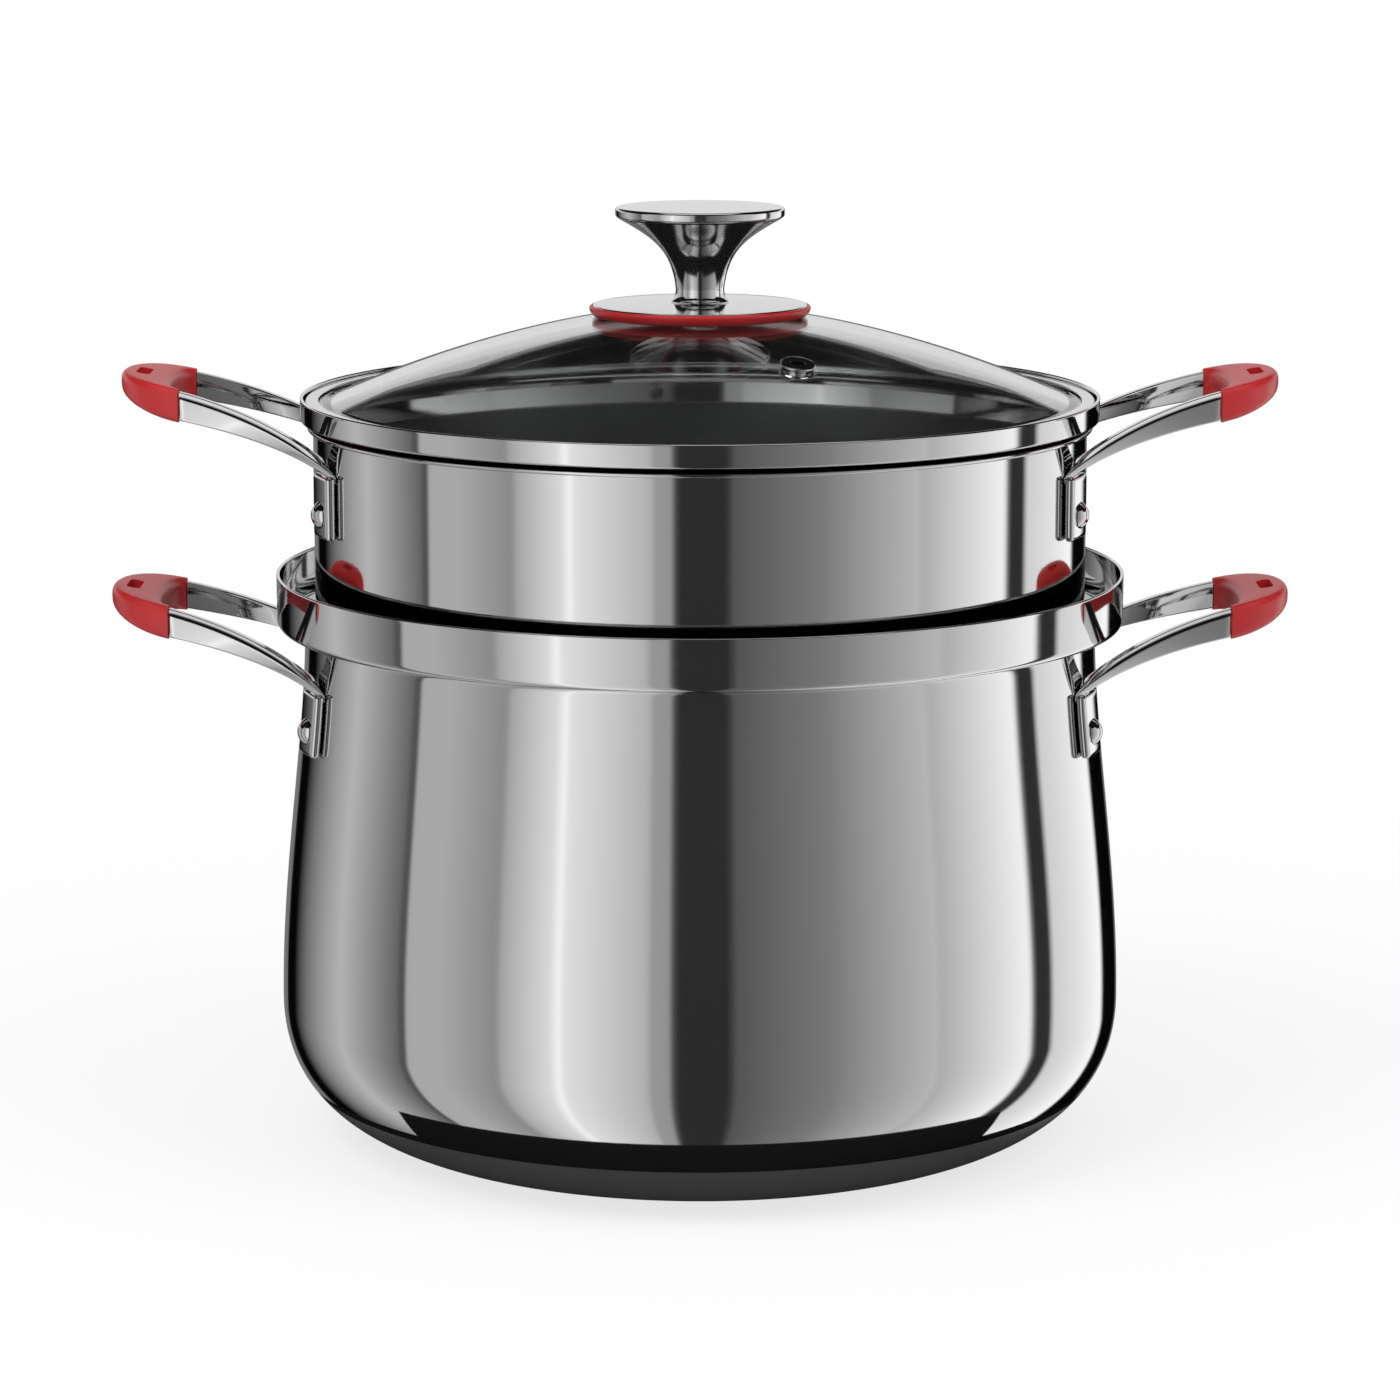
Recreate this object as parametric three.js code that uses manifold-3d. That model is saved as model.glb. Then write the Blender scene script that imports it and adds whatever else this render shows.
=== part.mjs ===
// A stainless-steel stockpot with a steamer insert and a domed glass lid.
// Millimetres, +Z up, the origin in the middle of the base on the surface it stands on.
import * as THREE from 'three';
import { mergeVertices } from 'three/addons/utils/BufferGeometryUtils.js';
import Module from 'manifold-3d';

// Fits and facets
const CLEARANCE = 0.3;
const ROUND_SEGMENTS = 40;
const SMALL_SEGMENTS = 24;
const RIVET_SEGMENTS = 12;
const CURVE_STEPS = 5;
const DOME_STEPS = 8;
const RING_STEPS = 2;

// Pot shell: flat base, wide belly low down, narrow neck, stepped collar at the rim
const POT_HEIGHT = 165.3;
const POT_WALL = 1.0;
const BASE_RADIUS = 89;
const BASE_FLARE = 12;
const BASE_RISE = 3;
const BELLY_RADIUS = 122.8;
const BELLY_HEIGHT = 40;
const BELLY_DROP = 28;
const BELLY_LIFT = 38;
const NECK_RADIUS = 115;
const NECK_DROP = 28;
const COLLAR_RADIUS = 123;
const COLLAR_HEIGHT = 15.1;
const COLLAR_FILLET = 2;

// Base: an aluminium disc held under the floor by a steel cap
const CAP_WALL = 0.8;
const CAP_EDGE_HEIGHT = 15.7;
const CORE_MARGIN = 1;
const CORE_THICKNESS = 5;

// Steamer: straight wall, seat bead on the pot's shoulder, rim collar, bead under the rim
const STEAMER_FIT = 2.15;
const STEAMER_WALL = 1.0;
const STEAMER_HEIGHT = 64.9;
const SEAT_BEAD_REACH = 6;
const SEAT_BEAD_HEIGHT = 2.4;
const FLOOR_DROP = 10;
const FLOOR_CORNER = 4;
const RIM_STEP = 3.65;
const RIM_HEIGHT = 7;
const RIM_BEAD_REACH = 1.6;
const RIM_BEAD_HEIGHT = 2.6;
const STEAM_HOLE_RADIUS = 4.5;
const STEAM_HOLE_PITCH = 24;
const STEAM_HOLE_RINGS = 3;
const STEAM_HOLE_SIDES = 8;

// Lid: glass dome in a steel channel, inside the steamer's rim collar
const LID_FIT = 0.5;
const BAND_WALL = 0.7;
const BAND_LIP = 0.6;
const BAND_LIP_REACH = 3.5;
const GLASS_THICKNESS = 3;
const GLASS_FLANGE = 4.7;
const DOME_RISE = 27.1;
const DOME_FULLNESS = 1.73;
const SCREW_RADIUS = 2.5;
const SCREW_HEAD_RADIUS = 5.5;
const SCREW_HEAD_HEIGHT = 3;
const SCREW_GRIP = 13;
const WASHER_RADIUS = 9;
const WASHER_THICKNESS = 1.5;
const VENT_DISTANCE = 64;
const VENT_AZIMUTH = THREE.MathUtils.degToRad(-65);
const VENT_BORE = 1.8;
const VENT_WALL = 1.2;
const VENT_LIP = 2;
const VENT_LIP_HEIGHT = 0.9;

// Knob: silicone ring and steel flange on the glass, trumpet body, closing cap
const FLANGE_RADIUS = 31;
const FLANGE_THICKNESS = 0.9;
const SEAL_OVERHANG = 0.6;
const SEAL_WIDTH = 6;
const KNOB_FOOT_RADIUS = 8.4;
const KNOB_NECK_RADIUS = 7.1;
const KNOB_NECK_HEIGHT = 3;
const KNOB_BODY_HEIGHT = 23.8;
const KNOB_TOP_RADIUS = 23.4;
const KNOB_THROAT_FLARE = 1.5;
const KNOB_THROAT_RISE = 11.4;
const KNOB_LIP_REACH = 10.3;
const KNOB_LIP_DROP = 5.8;
const KNOB_CAP_RADIUS = 24.4;
const KNOB_CAP_THICKNESS = 3;
const KNOB_CAP_EDGE = 0.9;

// Handles: an open cast loop, read as reach from the wall, half-width and rise from the foot
const POT_HANDLE_DROP = 16.5;
const STEAMER_HANDLE_DROP = 13.3;
const FOOT_HALF_WIDTH = 46;
const FOOT_RAIL_WIDTH = 8;
const GRIP_HALF_WIDTH = 28;
const GRIP_RAIL_WIDTH = 5;
const GRIP_START = 46;
const LOOP_REACH = 65;
const FOOT_THICKNESS = 2.6;
const LOOP_RISE = 18.6;
const LOOP_TOP_RISE = 27.3;
const LOWER_BEND = [18.5, 14];
const UPPER_BEND = [24.3, 21.6];
const SPLAY_BEND = [17, 33.5];
const INNER_SPLAY_BEND = [17, 27.5];
const LOOP_END_TURN = 0.65;
const LOOP_END_SIDE = 0.93;
const LOOP_END_FRONT = 0.58;
const WALL_OVERRUN = 10;
const TAB_INNER = 33;
const TAB_DEPTH = 16.4;
const TAB_THICKNESS = 2.8;
const TAB_LAP = 2;
const RIVET_SPACING = 39.5;
const RIVET_DROP = 9.5;
const RIVET_SHANK_RADIUS = 2.2;
const RIVET_HEAD_RADIUS = 3.8;
const RIVET_HEAD_HEIGHT = 2.2;
const RIVET_INNER_HEIGHT = 1.4;
const RIVET_CHAMFER = 0.9;
const RIVET_CROWN = 0.7;
const RIVET_SEAT = 0.45;

// Grips: silicone sleeves over a slim tang at the loop's tip
const GRIP_SLEEVE = 0.7;
const GRIP_BAR_WIDTH = 15;
const TANG_WIDTH = 2.8;
const TANG_COVER = 2.2;
const TANG_INSET = 1.8;
const TANG_LAP = 2;
const SLOT_WIDTH = 4;
const SLOT_HALF_LENGTH = 7;
const SLOT_MARGIN = 1.6;

// Heights worked out from the sizes above
const shoulderZ = POT_HEIGHT - COLLAR_HEIGHT;
const neckTopZ = shoulderZ - COLLAR_FILLET;
const potFloorZ = CAP_WALL + CORE_THICKNESS + 2 * CLEARANCE;
const seatZ = shoulderZ + POT_WALL + CLEARANCE;
const steamerRadius = NECK_RADIUS - POT_WALL - STEAMER_FIT;
const steamerTopZ = seatZ + STEAMER_HEIGHT;
const steamerFloorZ = seatZ - FLOOR_DROP;
const rimRadius = steamerRadius + RIM_STEP;
const rimStepZ = steamerTopZ - RIM_HEIGHT;
const bandRadius = rimRadius - STEAMER_WALL - LID_FIT;
const bandZ = rimStepZ + STEAMER_WALL + CLEARANCE;
const glassRadius = bandRadius - BAND_WALL - CLEARANCE;
const glassEdgeZ = bandZ + BAND_LIP + CLEARANCE;
const domeRadius = glassRadius - GLASS_FLANGE;
const domeFootZ = glassEdgeZ + GLASS_THICKNESS;
const domeTopZ = domeFootZ + DOME_RISE;
const flangeZ = domeTopZ + CLEARANCE;
const knobZ = flangeZ + FLANGE_THICKNESS + CLEARANCE;
const knobCapZ = knobZ + KNOB_BODY_HEIGHT + CLEARANCE;
const screwHoleRadius = SCREW_RADIUS + CLEARANCE;

const wasm = await Module();
wasm.setup();

// Points of a two-dimensional curve between two of its parameters
function along(curve, from, to, steps) {
  const points = [];
  for (let i = 0; i <= steps; i += 1) {
    points.push(curve.getPoint(from + (to - from) * i / steps));
  }
  return points;
}

function point(x, y) {
  return new THREE.Vector2(x, y);
}

// The polyline moved sideways, to the left of its direction, by a distance given at each point
function moved(points, distanceAt) {
  return points.map((here, i) => {
    const before = points[Math.max(i - 1, 0)];
    const after = points[Math.min(i + 1, points.length - 1)];
    const direction = after.clone().sub(before).normalize();
    const distance = distanceAt(here);
    return point(here.x - direction.y * distance, here.y + direction.x * distance);
  });
}

// A closed geometry with shared vertices, no empty triangles and its faces pointing out
function closed(geometry) {
  const bare = new THREE.BufferGeometry();
  bare.setAttribute('position', geometry.getAttribute('position').clone());
  bare.setIndex(geometry.getIndex());
  const merged = mergeVertices(bare, 1e-4);
  const place = merged.getAttribute('position');
  const index = merged.getIndex().array;
  const kept = [];
  let volume = 0;
  const a = new THREE.Vector3();
  const b = new THREE.Vector3();
  const c = new THREE.Vector3();
  for (let i = 0; i < index.length; i += 3) {
    const [p, q, r] = [index[i], index[i + 1], index[i + 2]];
    if (p !== q && q !== r && r !== p) {
      kept.push(p, q, r);
      a.fromBufferAttribute(place, p);
      b.fromBufferAttribute(place, q);
      c.fromBufferAttribute(place, r);
      volume += a.dot(b.cross(c));
    }
  }
  if (volume < 0) {
    kept.reverse();
  }
  merged.setIndex(kept);
  return merged;
}

function toSolid(geometry) {
  const whole = closed(geometry);
  return new wasm.Manifold(new wasm.Mesh({
    numProp: 3,
    vertProperties: new Float32Array(whole.getAttribute('position').array),
    triVerts: new Uint32Array(whole.getIndex().array),
  }));
}

function toGeometry(solid) {
  const mesh = solid.getMesh();
  const geometry = new THREE.BufferGeometry();
  geometry.setAttribute('position', new THREE.BufferAttribute(new Float32Array(mesh.vertProperties), 3));
  geometry.setIndex(new THREE.BufferAttribute(new Uint32Array(mesh.triVerts), 1));
  return geometry;
}

// A profile of radius and height turned about the Z axis
function turned(profile, segments) {
  return closed(new THREE.LatheGeometry(profile, segments).rotateX(Math.PI / 2));
}

// An outline in X and Y raised between two heights
function raised(outline, fromZ, toZ) {
  const shape = new THREE.Shape(outline);
  const depth = toZ - fromZ;
  return new THREE.ExtrudeGeometry(shape, { depth, bevelEnabled: false }).translate(0, 0, fromZ);
}

// An outline in X and Z, as wide as twice the half-width in Y
function crosswise(outline, halfWidth) {
  const shape = new THREE.Shape(outline);
  const options = { depth: 2 * halfWidth, bevelEnabled: false };
  return new THREE.ExtrudeGeometry(shape, options).rotateX(Math.PI / 2).translate(0, halfWidth, 0);
}

function rod(radius, fromZ, toZ, sides) {
  const length = toZ - fromZ;
  const cylinder = new THREE.CylinderGeometry(radius, radius, length, sides);
  return cylinder.rotateX(Math.PI / 2).translate(0, 0, fromZ + length / 2);
}

// Pot wall curves, from the base's edge to the belly and from the belly to the neck
const bellyPoint = point(BELLY_RADIUS, BELLY_HEIGHT);
const cornerCurve = new THREE.CubicBezierCurve(
  point(BASE_RADIUS, 0),
  point(BASE_RADIUS + BASE_FLARE, BASE_RISE),
  point(BELLY_RADIUS, BELLY_HEIGHT - BELLY_DROP),
  bellyPoint,
);
const neckCurve = new THREE.CubicBezierCurve(
  bellyPoint,
  point(BELLY_RADIUS, BELLY_HEIGHT + BELLY_LIFT),
  point(NECK_RADIUS, neckTopZ - NECK_DROP),
  point(NECK_RADIUS, neckTopZ),
);

// The parameter at which a rising curve reaches a height
function parameterAt(curve, height) {
  let low = 0;
  let high = 1;
  for (let i = 0; i < 40; i += 1) {
    const middle = (low + high) / 2;
    if (curve.getPoint(middle).y < height) {
      low = middle;
    } else {
      high = middle;
    }
  }
  return low;
}

function potRadiusAt(height) {
  return neckCurve.getPoint(parameterAt(neckCurve, height)).x;
}

function steamerRadiusAt() {
  return steamerRadius;
}

const capEdge = parameterAt(cornerCurve, CAP_EDGE_HEIGHT);

// The part of a rising polyline above a height, starting exactly on it
function fromHeight(points, height) {
  const first = points.findIndex((here) => here.y > height);
  const below = points[first - 1];
  const above = points[first];
  const share = (height - below.y) / (above.y - below.y);
  return [below.clone().lerp(above, share), ...points.slice(first)];
}

function potShellProfile() {
  const recess = CAP_WALL + CLEARANCE;
  const inCap = moved(along(cornerCurve, 0, capEdge, CURVE_STEPS), () => recess);
  const capClear = parameterAt(cornerCurve, CAP_EDGE_HEIGHT + CLEARANCE);
  const aboveCap = along(cornerCurve, capClear, 1, CURVE_STEPS);
  const wall = along(neckCurve, 0, 1, CURVE_STEPS).slice(1);
  const bend = COLLAR_FILLET * (1 - Math.SQRT1_2);
  const collar = [
    point(NECK_RADIUS + COLLAR_FILLET, shoulderZ),
    point(COLLAR_RADIUS - COLLAR_FILLET, shoulderZ),
    point(COLLAR_RADIUS - bend, shoulderZ + bend),
    point(COLLAR_RADIUS, shoulderZ + COLLAR_FILLET),
    point(COLLAR_RADIUS, POT_HEIGHT),
  ];
  const outside = [point(0, potFloorZ), ...fromHeight(inCap, potFloorZ), ...aboveCap, ...wall, ...collar];
  const skin = [...along(cornerCurve, 0, 1, DOME_STEPS), ...wall, ...collar];
  const thickened = (here) => 1 - THREE.MathUtils.smoothstep(here.y, CAP_EDGE_HEIGHT, BELLY_HEIGHT);
  const insideFloor = potFloorZ + POT_WALL;
  const inside = fromHeight(moved(skin, (here) => POT_WALL + recess * thickened(here)), insideFloor);
  return [...outside, ...inside.reverse(), point(0, insideFloor)];
}

function baseCapProfile() {
  const outside = along(cornerCurve, 0, capEdge, CURVE_STEPS);
  const inside = moved(outside, () => CAP_WALL).reverse();
  const rimInside = point(inside[0].x, CAP_EDGE_HEIGHT);
  const floorInside = point(BASE_RADIUS, CAP_WALL);
  return [point(0, 0), ...outside, rimInside, ...inside.slice(1, -1), floorInside, point(0, CAP_WALL)];
}

function baseCoreProfile() {
  const radius = BASE_RADIUS - CORE_MARGIN;
  const bottom = CAP_WALL + CLEARANCE;
  const top = bottom + CORE_THICKNESS;
  return [point(0, bottom), point(radius, bottom), point(radius, top), point(0, top)];
}

function steamerProfile() {
  const r = steamerRadius;
  const t = STEAMER_WALL;
  const slope = FLOOR_CORNER * (1 - Math.SQRT1_2);
  const beadMiddle = rimStepZ - RIM_BEAD_HEIGHT / 2;
  const beadFoot = rimStepZ - RIM_BEAD_HEIGHT;
  const seatTop = seatZ + SEAT_BEAD_HEIGHT;
  return [
    point(0, steamerFloorZ),
    point(r - FLOOR_CORNER, steamerFloorZ),
    point(r - slope, steamerFloorZ + slope),
    point(r, steamerFloorZ + FLOOR_CORNER),
    point(r, seatZ),
    point(r + SEAT_BEAD_REACH - t, seatZ),
    point(r + SEAT_BEAD_REACH, seatZ + SEAT_BEAD_HEIGHT / 2),
    point(r + SEAT_BEAD_REACH - t, seatTop),
    point(r, seatTop),
    point(r, beadFoot),
    point(r + RIM_BEAD_REACH, beadMiddle),
    point(r + RIM_BEAD_REACH / 2, rimStepZ),
    point(rimRadius, rimStepZ),
    point(rimRadius, steamerTopZ),
    point(rimRadius - t, steamerTopZ),
    point(rimRadius - t, rimStepZ + t),
    point(r - t, rimStepZ + t),
    point(r - t, steamerFloorZ + FLOOR_CORNER),
    point(r - FLOOR_CORNER, steamerFloorZ + t),
    point(0, steamerFloorZ + t),
  ];
}

function lidBandProfile() {
  const top = domeFootZ + CLEARANCE + BAND_LIP;
  const inner = bandRadius - BAND_WALL;
  const lip = bandRadius - BAND_LIP_REACH;
  const profile = [
    point(lip, bandZ),
    point(bandRadius, bandZ),
    point(bandRadius, top),
    point(lip, top),
    point(lip, top - BAND_LIP),
    point(inner, top - BAND_LIP),
    point(inner, bandZ + BAND_LIP),
    point(lip, bandZ + BAND_LIP),
  ];
  return [...profile, profile[0]];
}

function domeHeightAt(radius) {
  return domeFootZ + DOME_RISE * (1 - (radius / domeRadius) ** DOME_FULLNESS);
}

function lidGlassProfile() {
  const outside = [];
  for (let i = 0; i <= DOME_STEPS; i += 1) {
    const radius = screwHoleRadius + (domeRadius - screwHoleRadius) * i / DOME_STEPS;
    outside.push(point(radius, domeHeightAt(radius)));
  }
  outside.push(point(glassRadius, domeFootZ));
  const inside = outside.map((here) => point(here.x, here.y - GLASS_THICKNESS)).reverse();
  return [...outside, ...inside, outside[0]];
}

function sealRingProfile() {
  const outer = FLANGE_RADIUS + SEAL_OVERHANG;
  const inner = outer - SEAL_WIDTH;
  const top = flangeZ - CLEARANCE;
  const profile = [
    point(inner, domeHeightAt(inner) + CLEARANCE),
    point(outer, domeHeightAt(outer) + 2 * CLEARANCE),
    point(outer, top),
    point(inner, top),
  ];
  return [...profile, profile[0]];
}

function flangeProfile() {
  const top = flangeZ + FLANGE_THICKNESS;
  const profile = [
    point(screwHoleRadius, flangeZ),
    point(FLANGE_RADIUS, flangeZ),
    point(FLANGE_RADIUS, flangeZ + FLANGE_THICKNESS / 2),
    point(FLANGE_RADIUS - FLANGE_THICKNESS, top),
    point(screwHoleRadius, top),
  ];
  return [...profile, profile[0]];
}

// The trumpet flares from its neck to the cap, and the screw's hole is open at the foot
function knobBodyProfile() {
  const neckZ = knobZ + KNOB_NECK_HEIGHT;
  const top = knobZ + KNOB_BODY_HEIGHT;
  const flare = new THREE.CubicBezierCurve(
    point(KNOB_NECK_RADIUS, neckZ),
    point(KNOB_NECK_RADIUS + KNOB_THROAT_FLARE, neckZ + KNOB_THROAT_RISE),
    point(KNOB_TOP_RADIUS - KNOB_LIP_REACH, top - KNOB_LIP_DROP),
    point(KNOB_TOP_RADIUS, top),
  );
  const holeTop = knobZ + SCREW_GRIP + CLEARANCE;
  return [
    point(screwHoleRadius, knobZ),
    point(KNOB_FOOT_RADIUS, knobZ),
    ...along(flare, 0, 1, DOME_STEPS),
    point(0, top),
    point(0, holeTop),
    point(screwHoleRadius, holeTop),
    point(screwHoleRadius, knobZ),
  ];
}

function knobCapProfile() {
  const top = knobCapZ + KNOB_CAP_THICKNESS;
  return [
    point(0, knobCapZ),
    point(KNOB_TOP_RADIUS, knobCapZ),
    point(KNOB_CAP_RADIUS, knobCapZ + KNOB_CAP_THICKNESS / 2),
    point(KNOB_CAP_RADIUS, top - KNOB_CAP_EDGE),
    point(KNOB_CAP_RADIUS - KNOB_CAP_EDGE, top),
    point(0, top),
  ];
}

const washerTopZ = domeHeightAt(WASHER_RADIUS) - GLASS_THICKNESS - CLEARANCE;
const screwHeadZ = washerTopZ - WASHER_THICKNESS - CLEARANCE;

function washerProfile() {
  const bottom = washerTopZ - WASHER_THICKNESS;
  const profile = [
    point(screwHoleRadius, bottom),
    point(WASHER_RADIUS, bottom),
    point(WASHER_RADIUS, washerTopZ),
    point(screwHoleRadius, washerTopZ),
  ];
  return [...profile, profile[0]];
}

function screwProfile() {
  const bottom = screwHeadZ - SCREW_HEAD_HEIGHT;
  const tip = knobZ + SCREW_GRIP;
  return [
    point(0, bottom),
    point(SCREW_HEAD_RADIUS / 2, bottom),
    point(SCREW_HEAD_RADIUS, screwHeadZ - SCREW_HEAD_HEIGHT / 3),
    point(SCREW_HEAD_RADIUS, screwHeadZ),
    point(SCREW_RADIUS, screwHeadZ),
    point(SCREW_RADIUS, tip),
    point(0, tip),
  ];
}

// The steam vent stands square to the dome where it passes through the glass
const ventSlope = Math.atan(
  DOME_RISE * DOME_FULLNESS * VENT_DISTANCE ** (DOME_FULLNESS - 1) / domeRadius ** DOME_FULLNESS,
);
const ventPlace = new THREE.Matrix4()
  .makeRotationZ(VENT_AZIMUTH)
  .multiply(new THREE.Matrix4().makeTranslation(VENT_DISTANCE, 0, domeHeightAt(VENT_DISTANCE)))
  .multiply(new THREE.Matrix4().makeRotationY(ventSlope));

function ventProfile() {
  const outer = VENT_BORE + VENT_WALL;
  const lip = outer + VENT_LIP;
  const seat = CLEARANCE + lip ** 2 / (2 * domeRadius);
  const under = seat - GLASS_THICKNESS - 2 * CLEARANCE;
  const profile = [
    point(VENT_BORE, under - VENT_LIP_HEIGHT),
    point(lip, under - VENT_LIP_HEIGHT),
    point(lip, under),
    point(outer, under),
    point(outer, seat),
    point(lip, seat),
    point(lip, seat + VENT_LIP_HEIGHT / 2),
    point(lip - VENT_LIP_HEIGHT, seat + VENT_LIP_HEIGHT),
    point(VENT_BORE, seat + VENT_LIP_HEIGHT),
  ];
  return [...profile, profile[0]];
}

function lidGlass() {
  const ventHoleRadius = VENT_BORE + VENT_WALL + CLEARANCE;
  const hole = rod(ventHoleRadius, -2 * GLASS_THICKNESS, GLASS_THICKNESS, RIVET_SEGMENTS);
  const dome = toSolid(turned(lidGlassProfile(), ROUND_SEGMENTS));
  return toGeometry(dome.subtract(toSolid(hole.applyMatrix4(ventPlace))));
}

// A vessel describes what a handle is fixed to: the wall's radius, its thickness, and the foot's
// height, which is set down from the collar above it
const pot = { radiusAt: potRadiusAt, wall: POT_WALL, footZ: shoulderZ - POT_HANDLE_DROP };
const steamer = { radiusAt: steamerRadiusAt, wall: STEAMER_WALL, footZ: rimStepZ - STEAMER_HANDLE_DROP };

function handleRootX(vessel) {
  return Math.sqrt(vessel.radiusAt(vessel.footZ) ** 2 - FOOT_HALF_WIDTH ** 2);
}

// Mirrors the half of an outline with Y above zero, so that a loop is alike on both sides
function bothSides(half) {
  const other = half.map((here) => point(here.x, -here.y)).reverse();
  return [...half, ...other.filter((here) => here.y !== 0)];
}

function quadratic(from, bend, to, steps) {
  const curve = new THREE.QuadraticBezierCurve(point(...from), point(...bend), point(...to));
  return along(curve, 0, 1, steps);
}

// The rounded end of a loop, from its side at a reach to its tip on the middle plane
function loopEnd(fromReach, halfWidth, tipReach) {
  const turn = (tipReach - fromReach) * LOOP_END_TURN;
  const curve = new THREE.CubicBezierCurve(
    point(fromReach, halfWidth),
    point(fromReach + turn, halfWidth * LOOP_END_SIDE),
    point(tipReach, halfWidth * LOOP_END_FRONT),
    point(tipReach, 0),
  );
  return along(curve, 0, 1, CURVE_STEPS);
}

function splayedSide(footHalfWidth, bend, gripHalfWidth) {
  const splay = (footHalfWidth - bend[1]) / bend[0];
  const overrun = point(-WALL_OVERRUN, footHalfWidth + splay * WALL_OVERRUN);
  return [overrun, ...quadratic([0, footHalfWidth], bend, [GRIP_START, gripHalfWidth], CURVE_STEPS)];
}

// The two rails seen from above, as one half of the loop
function railOutline() {
  const outer = splayedSide(FOOT_HALF_WIDTH, SPLAY_BEND, GRIP_HALF_WIDTH);
  const inner = splayedSide(
    FOOT_HALF_WIDTH - FOOT_RAIL_WIDTH, INNER_SPLAY_BEND, GRIP_HALF_WIDTH - GRIP_RAIL_WIDTH,
  );
  return [...outer, ...inner.reverse()];
}

// The loop seen from the side beyond a reach, thinned on both faces by an inset or thickened by
// a negative one
function sideOutline(inset, fromReach) {
  const slope = LOWER_BEND[1] / LOWER_BEND[0];
  const lower = quadratic([0, 0], LOWER_BEND, [LOOP_REACH, LOOP_RISE], 2 * CURVE_STEPS);
  const upper = quadratic([0, FOOT_THICKNESS], UPPER_BEND, [LOOP_REACH, LOOP_TOP_RISE], 2 * CURVE_STEPS);
  lower.unshift(point(-WALL_OVERRUN, -slope * WALL_OVERRUN));
  upper.unshift(point(-WALL_OVERRUN, FOOT_THICKNESS - slope * WALL_OVERRUN));
  const beyond = (here) => here.x >= fromReach;
  const low = lower.filter(beyond).map((here) => point(here.x, here.y + inset));
  const high = upper.filter(beyond).map((here) => point(here.x, here.y - inset));
  return [...low, ...high.reverse()];
}

function sideBand(inset, fromReach) {
  return toSolid(crosswise(sideOutline(inset, fromReach), FOOT_HALF_WIDTH + 2 * WALL_OVERRUN));
}

const tipHigh = LOOP_TOP_RISE + LOOP_RISE;

function tangOutline(grow) {
  const start = GRIP_START - TANG_LAP;
  const middle = GRIP_HALF_WIDTH - GRIP_RAIL_WIDTH / 2;
  const inner = LOOP_REACH - GRIP_BAR_WIDTH + TANG_COVER;
  const outerHalf = loopEnd(start, middle + TANG_WIDTH / 2 + grow, inner + TANG_WIDTH + grow);
  const innerHalf = loopEnd(start, middle - TANG_WIDTH / 2 - grow, inner - grow);
  return [...bothSides(outerHalf), ...bothSides(innerHalf).reverse()];
}

function tang(grow) {
  const plan = toSolid(raised(tangOutline(grow), -tipHigh, tipHigh));
  return plan.intersect(sideBand(TANG_INSET - grow, GRIP_START / 2));
}

function gripBody() {
  const outerHalf = loopEnd(GRIP_START, GRIP_HALF_WIDTH + GRIP_SLEEVE, LOOP_REACH);
  const railInner = GRIP_HALF_WIDTH - GRIP_RAIL_WIDTH - GRIP_SLEEVE;
  const innerHalf = loopEnd(GRIP_START, railInner, LOOP_REACH - GRIP_BAR_WIDTH);
  const outline = [...bothSides(outerHalf), ...bothSides(innerHalf).reverse()];
  return toSolid(raised(outline, -tipHigh, tipHigh)).intersect(sideBand(-GRIP_SLEEVE, 0));
}

function slot() {
  const near = LOOP_REACH - GRIP_BAR_WIDTH + TANG_COVER + TANG_WIDTH + SLOT_MARGIN;
  const half = SLOT_WIDTH / 2;
  const outline = [];
  for (const end of [1, -1]) {
    for (let i = 0; i <= CURVE_STEPS; i += 1) {
      const angle = Math.PI * i / CURVE_STEPS;
      const x = near + half + half * Math.cos(angle) * end;
      const y = (SLOT_HALF_LENGTH - half + half * Math.sin(angle)) * end;
      outline.push(point(x, y));
    }
  }
  return toSolid(raised(outline, -tipHigh, 2 * tipHigh));
}

// A grip stands off the end of the steel rail and off the tang inside it
function gripGeometry(vessel) {
  const cut = gripBody().subtract(tang(CLEARANCE)).subtract(slot());
  const start = toSolid(raised(
    [
      point(GRIP_START + CLEARANCE, -LOOP_REACH),
      point(2 * LOOP_REACH, -LOOP_REACH),
      point(2 * LOOP_REACH, LOOP_REACH),
      point(GRIP_START + CLEARANCE, LOOP_REACH),
    ],
    -tipHigh,
    2 * tipHigh,
  ));
  return toGeometry(cut.intersect(start)).translate(handleRootX(vessel), 0, vessel.footZ);
}

// A ring between two distances from a vessel's wall, over a stretch of its height
function wallRing(vessel, near, far, fromZ, toZ) {
  const inner = [];
  for (let i = 0; i <= RING_STEPS; i += 1) {
    const z = fromZ + (toZ - fromZ) * i / RING_STEPS;
    inner.push(point(vessel.radiusAt(z), z));
  }
  const nearSide = inner.map((here) => point(here.x + near, here.y));
  const farSide = inner.map((here) => point(here.x + far, here.y)).reverse();
  return toSolid(turned([...nearSide, ...farSide, nearSide[0]], 2 * ROUND_SEGMENTS));
}

function footTab(vessel, side) {
  const bottom = vessel.footZ - TAB_DEPTH;
  const ring = wallRing(vessel, CLEARANCE, CLEARANCE + TAB_THICKNESS, bottom, vessel.footZ + TAB_LAP);
  const outline = [
    point(0, TAB_INNER * side),
    point(2 * COLLAR_RADIUS, TAB_INNER * side),
    point(2 * COLLAR_RADIUS, FOOT_HALF_WIDTH * side),
    point(0, FOOT_HALF_WIDTH * side),
  ];
  return ring.intersect(toSolid(raised(outline, bottom - TAB_LAP, vessel.footZ + 2 * TAB_LAP)));
}

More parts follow.
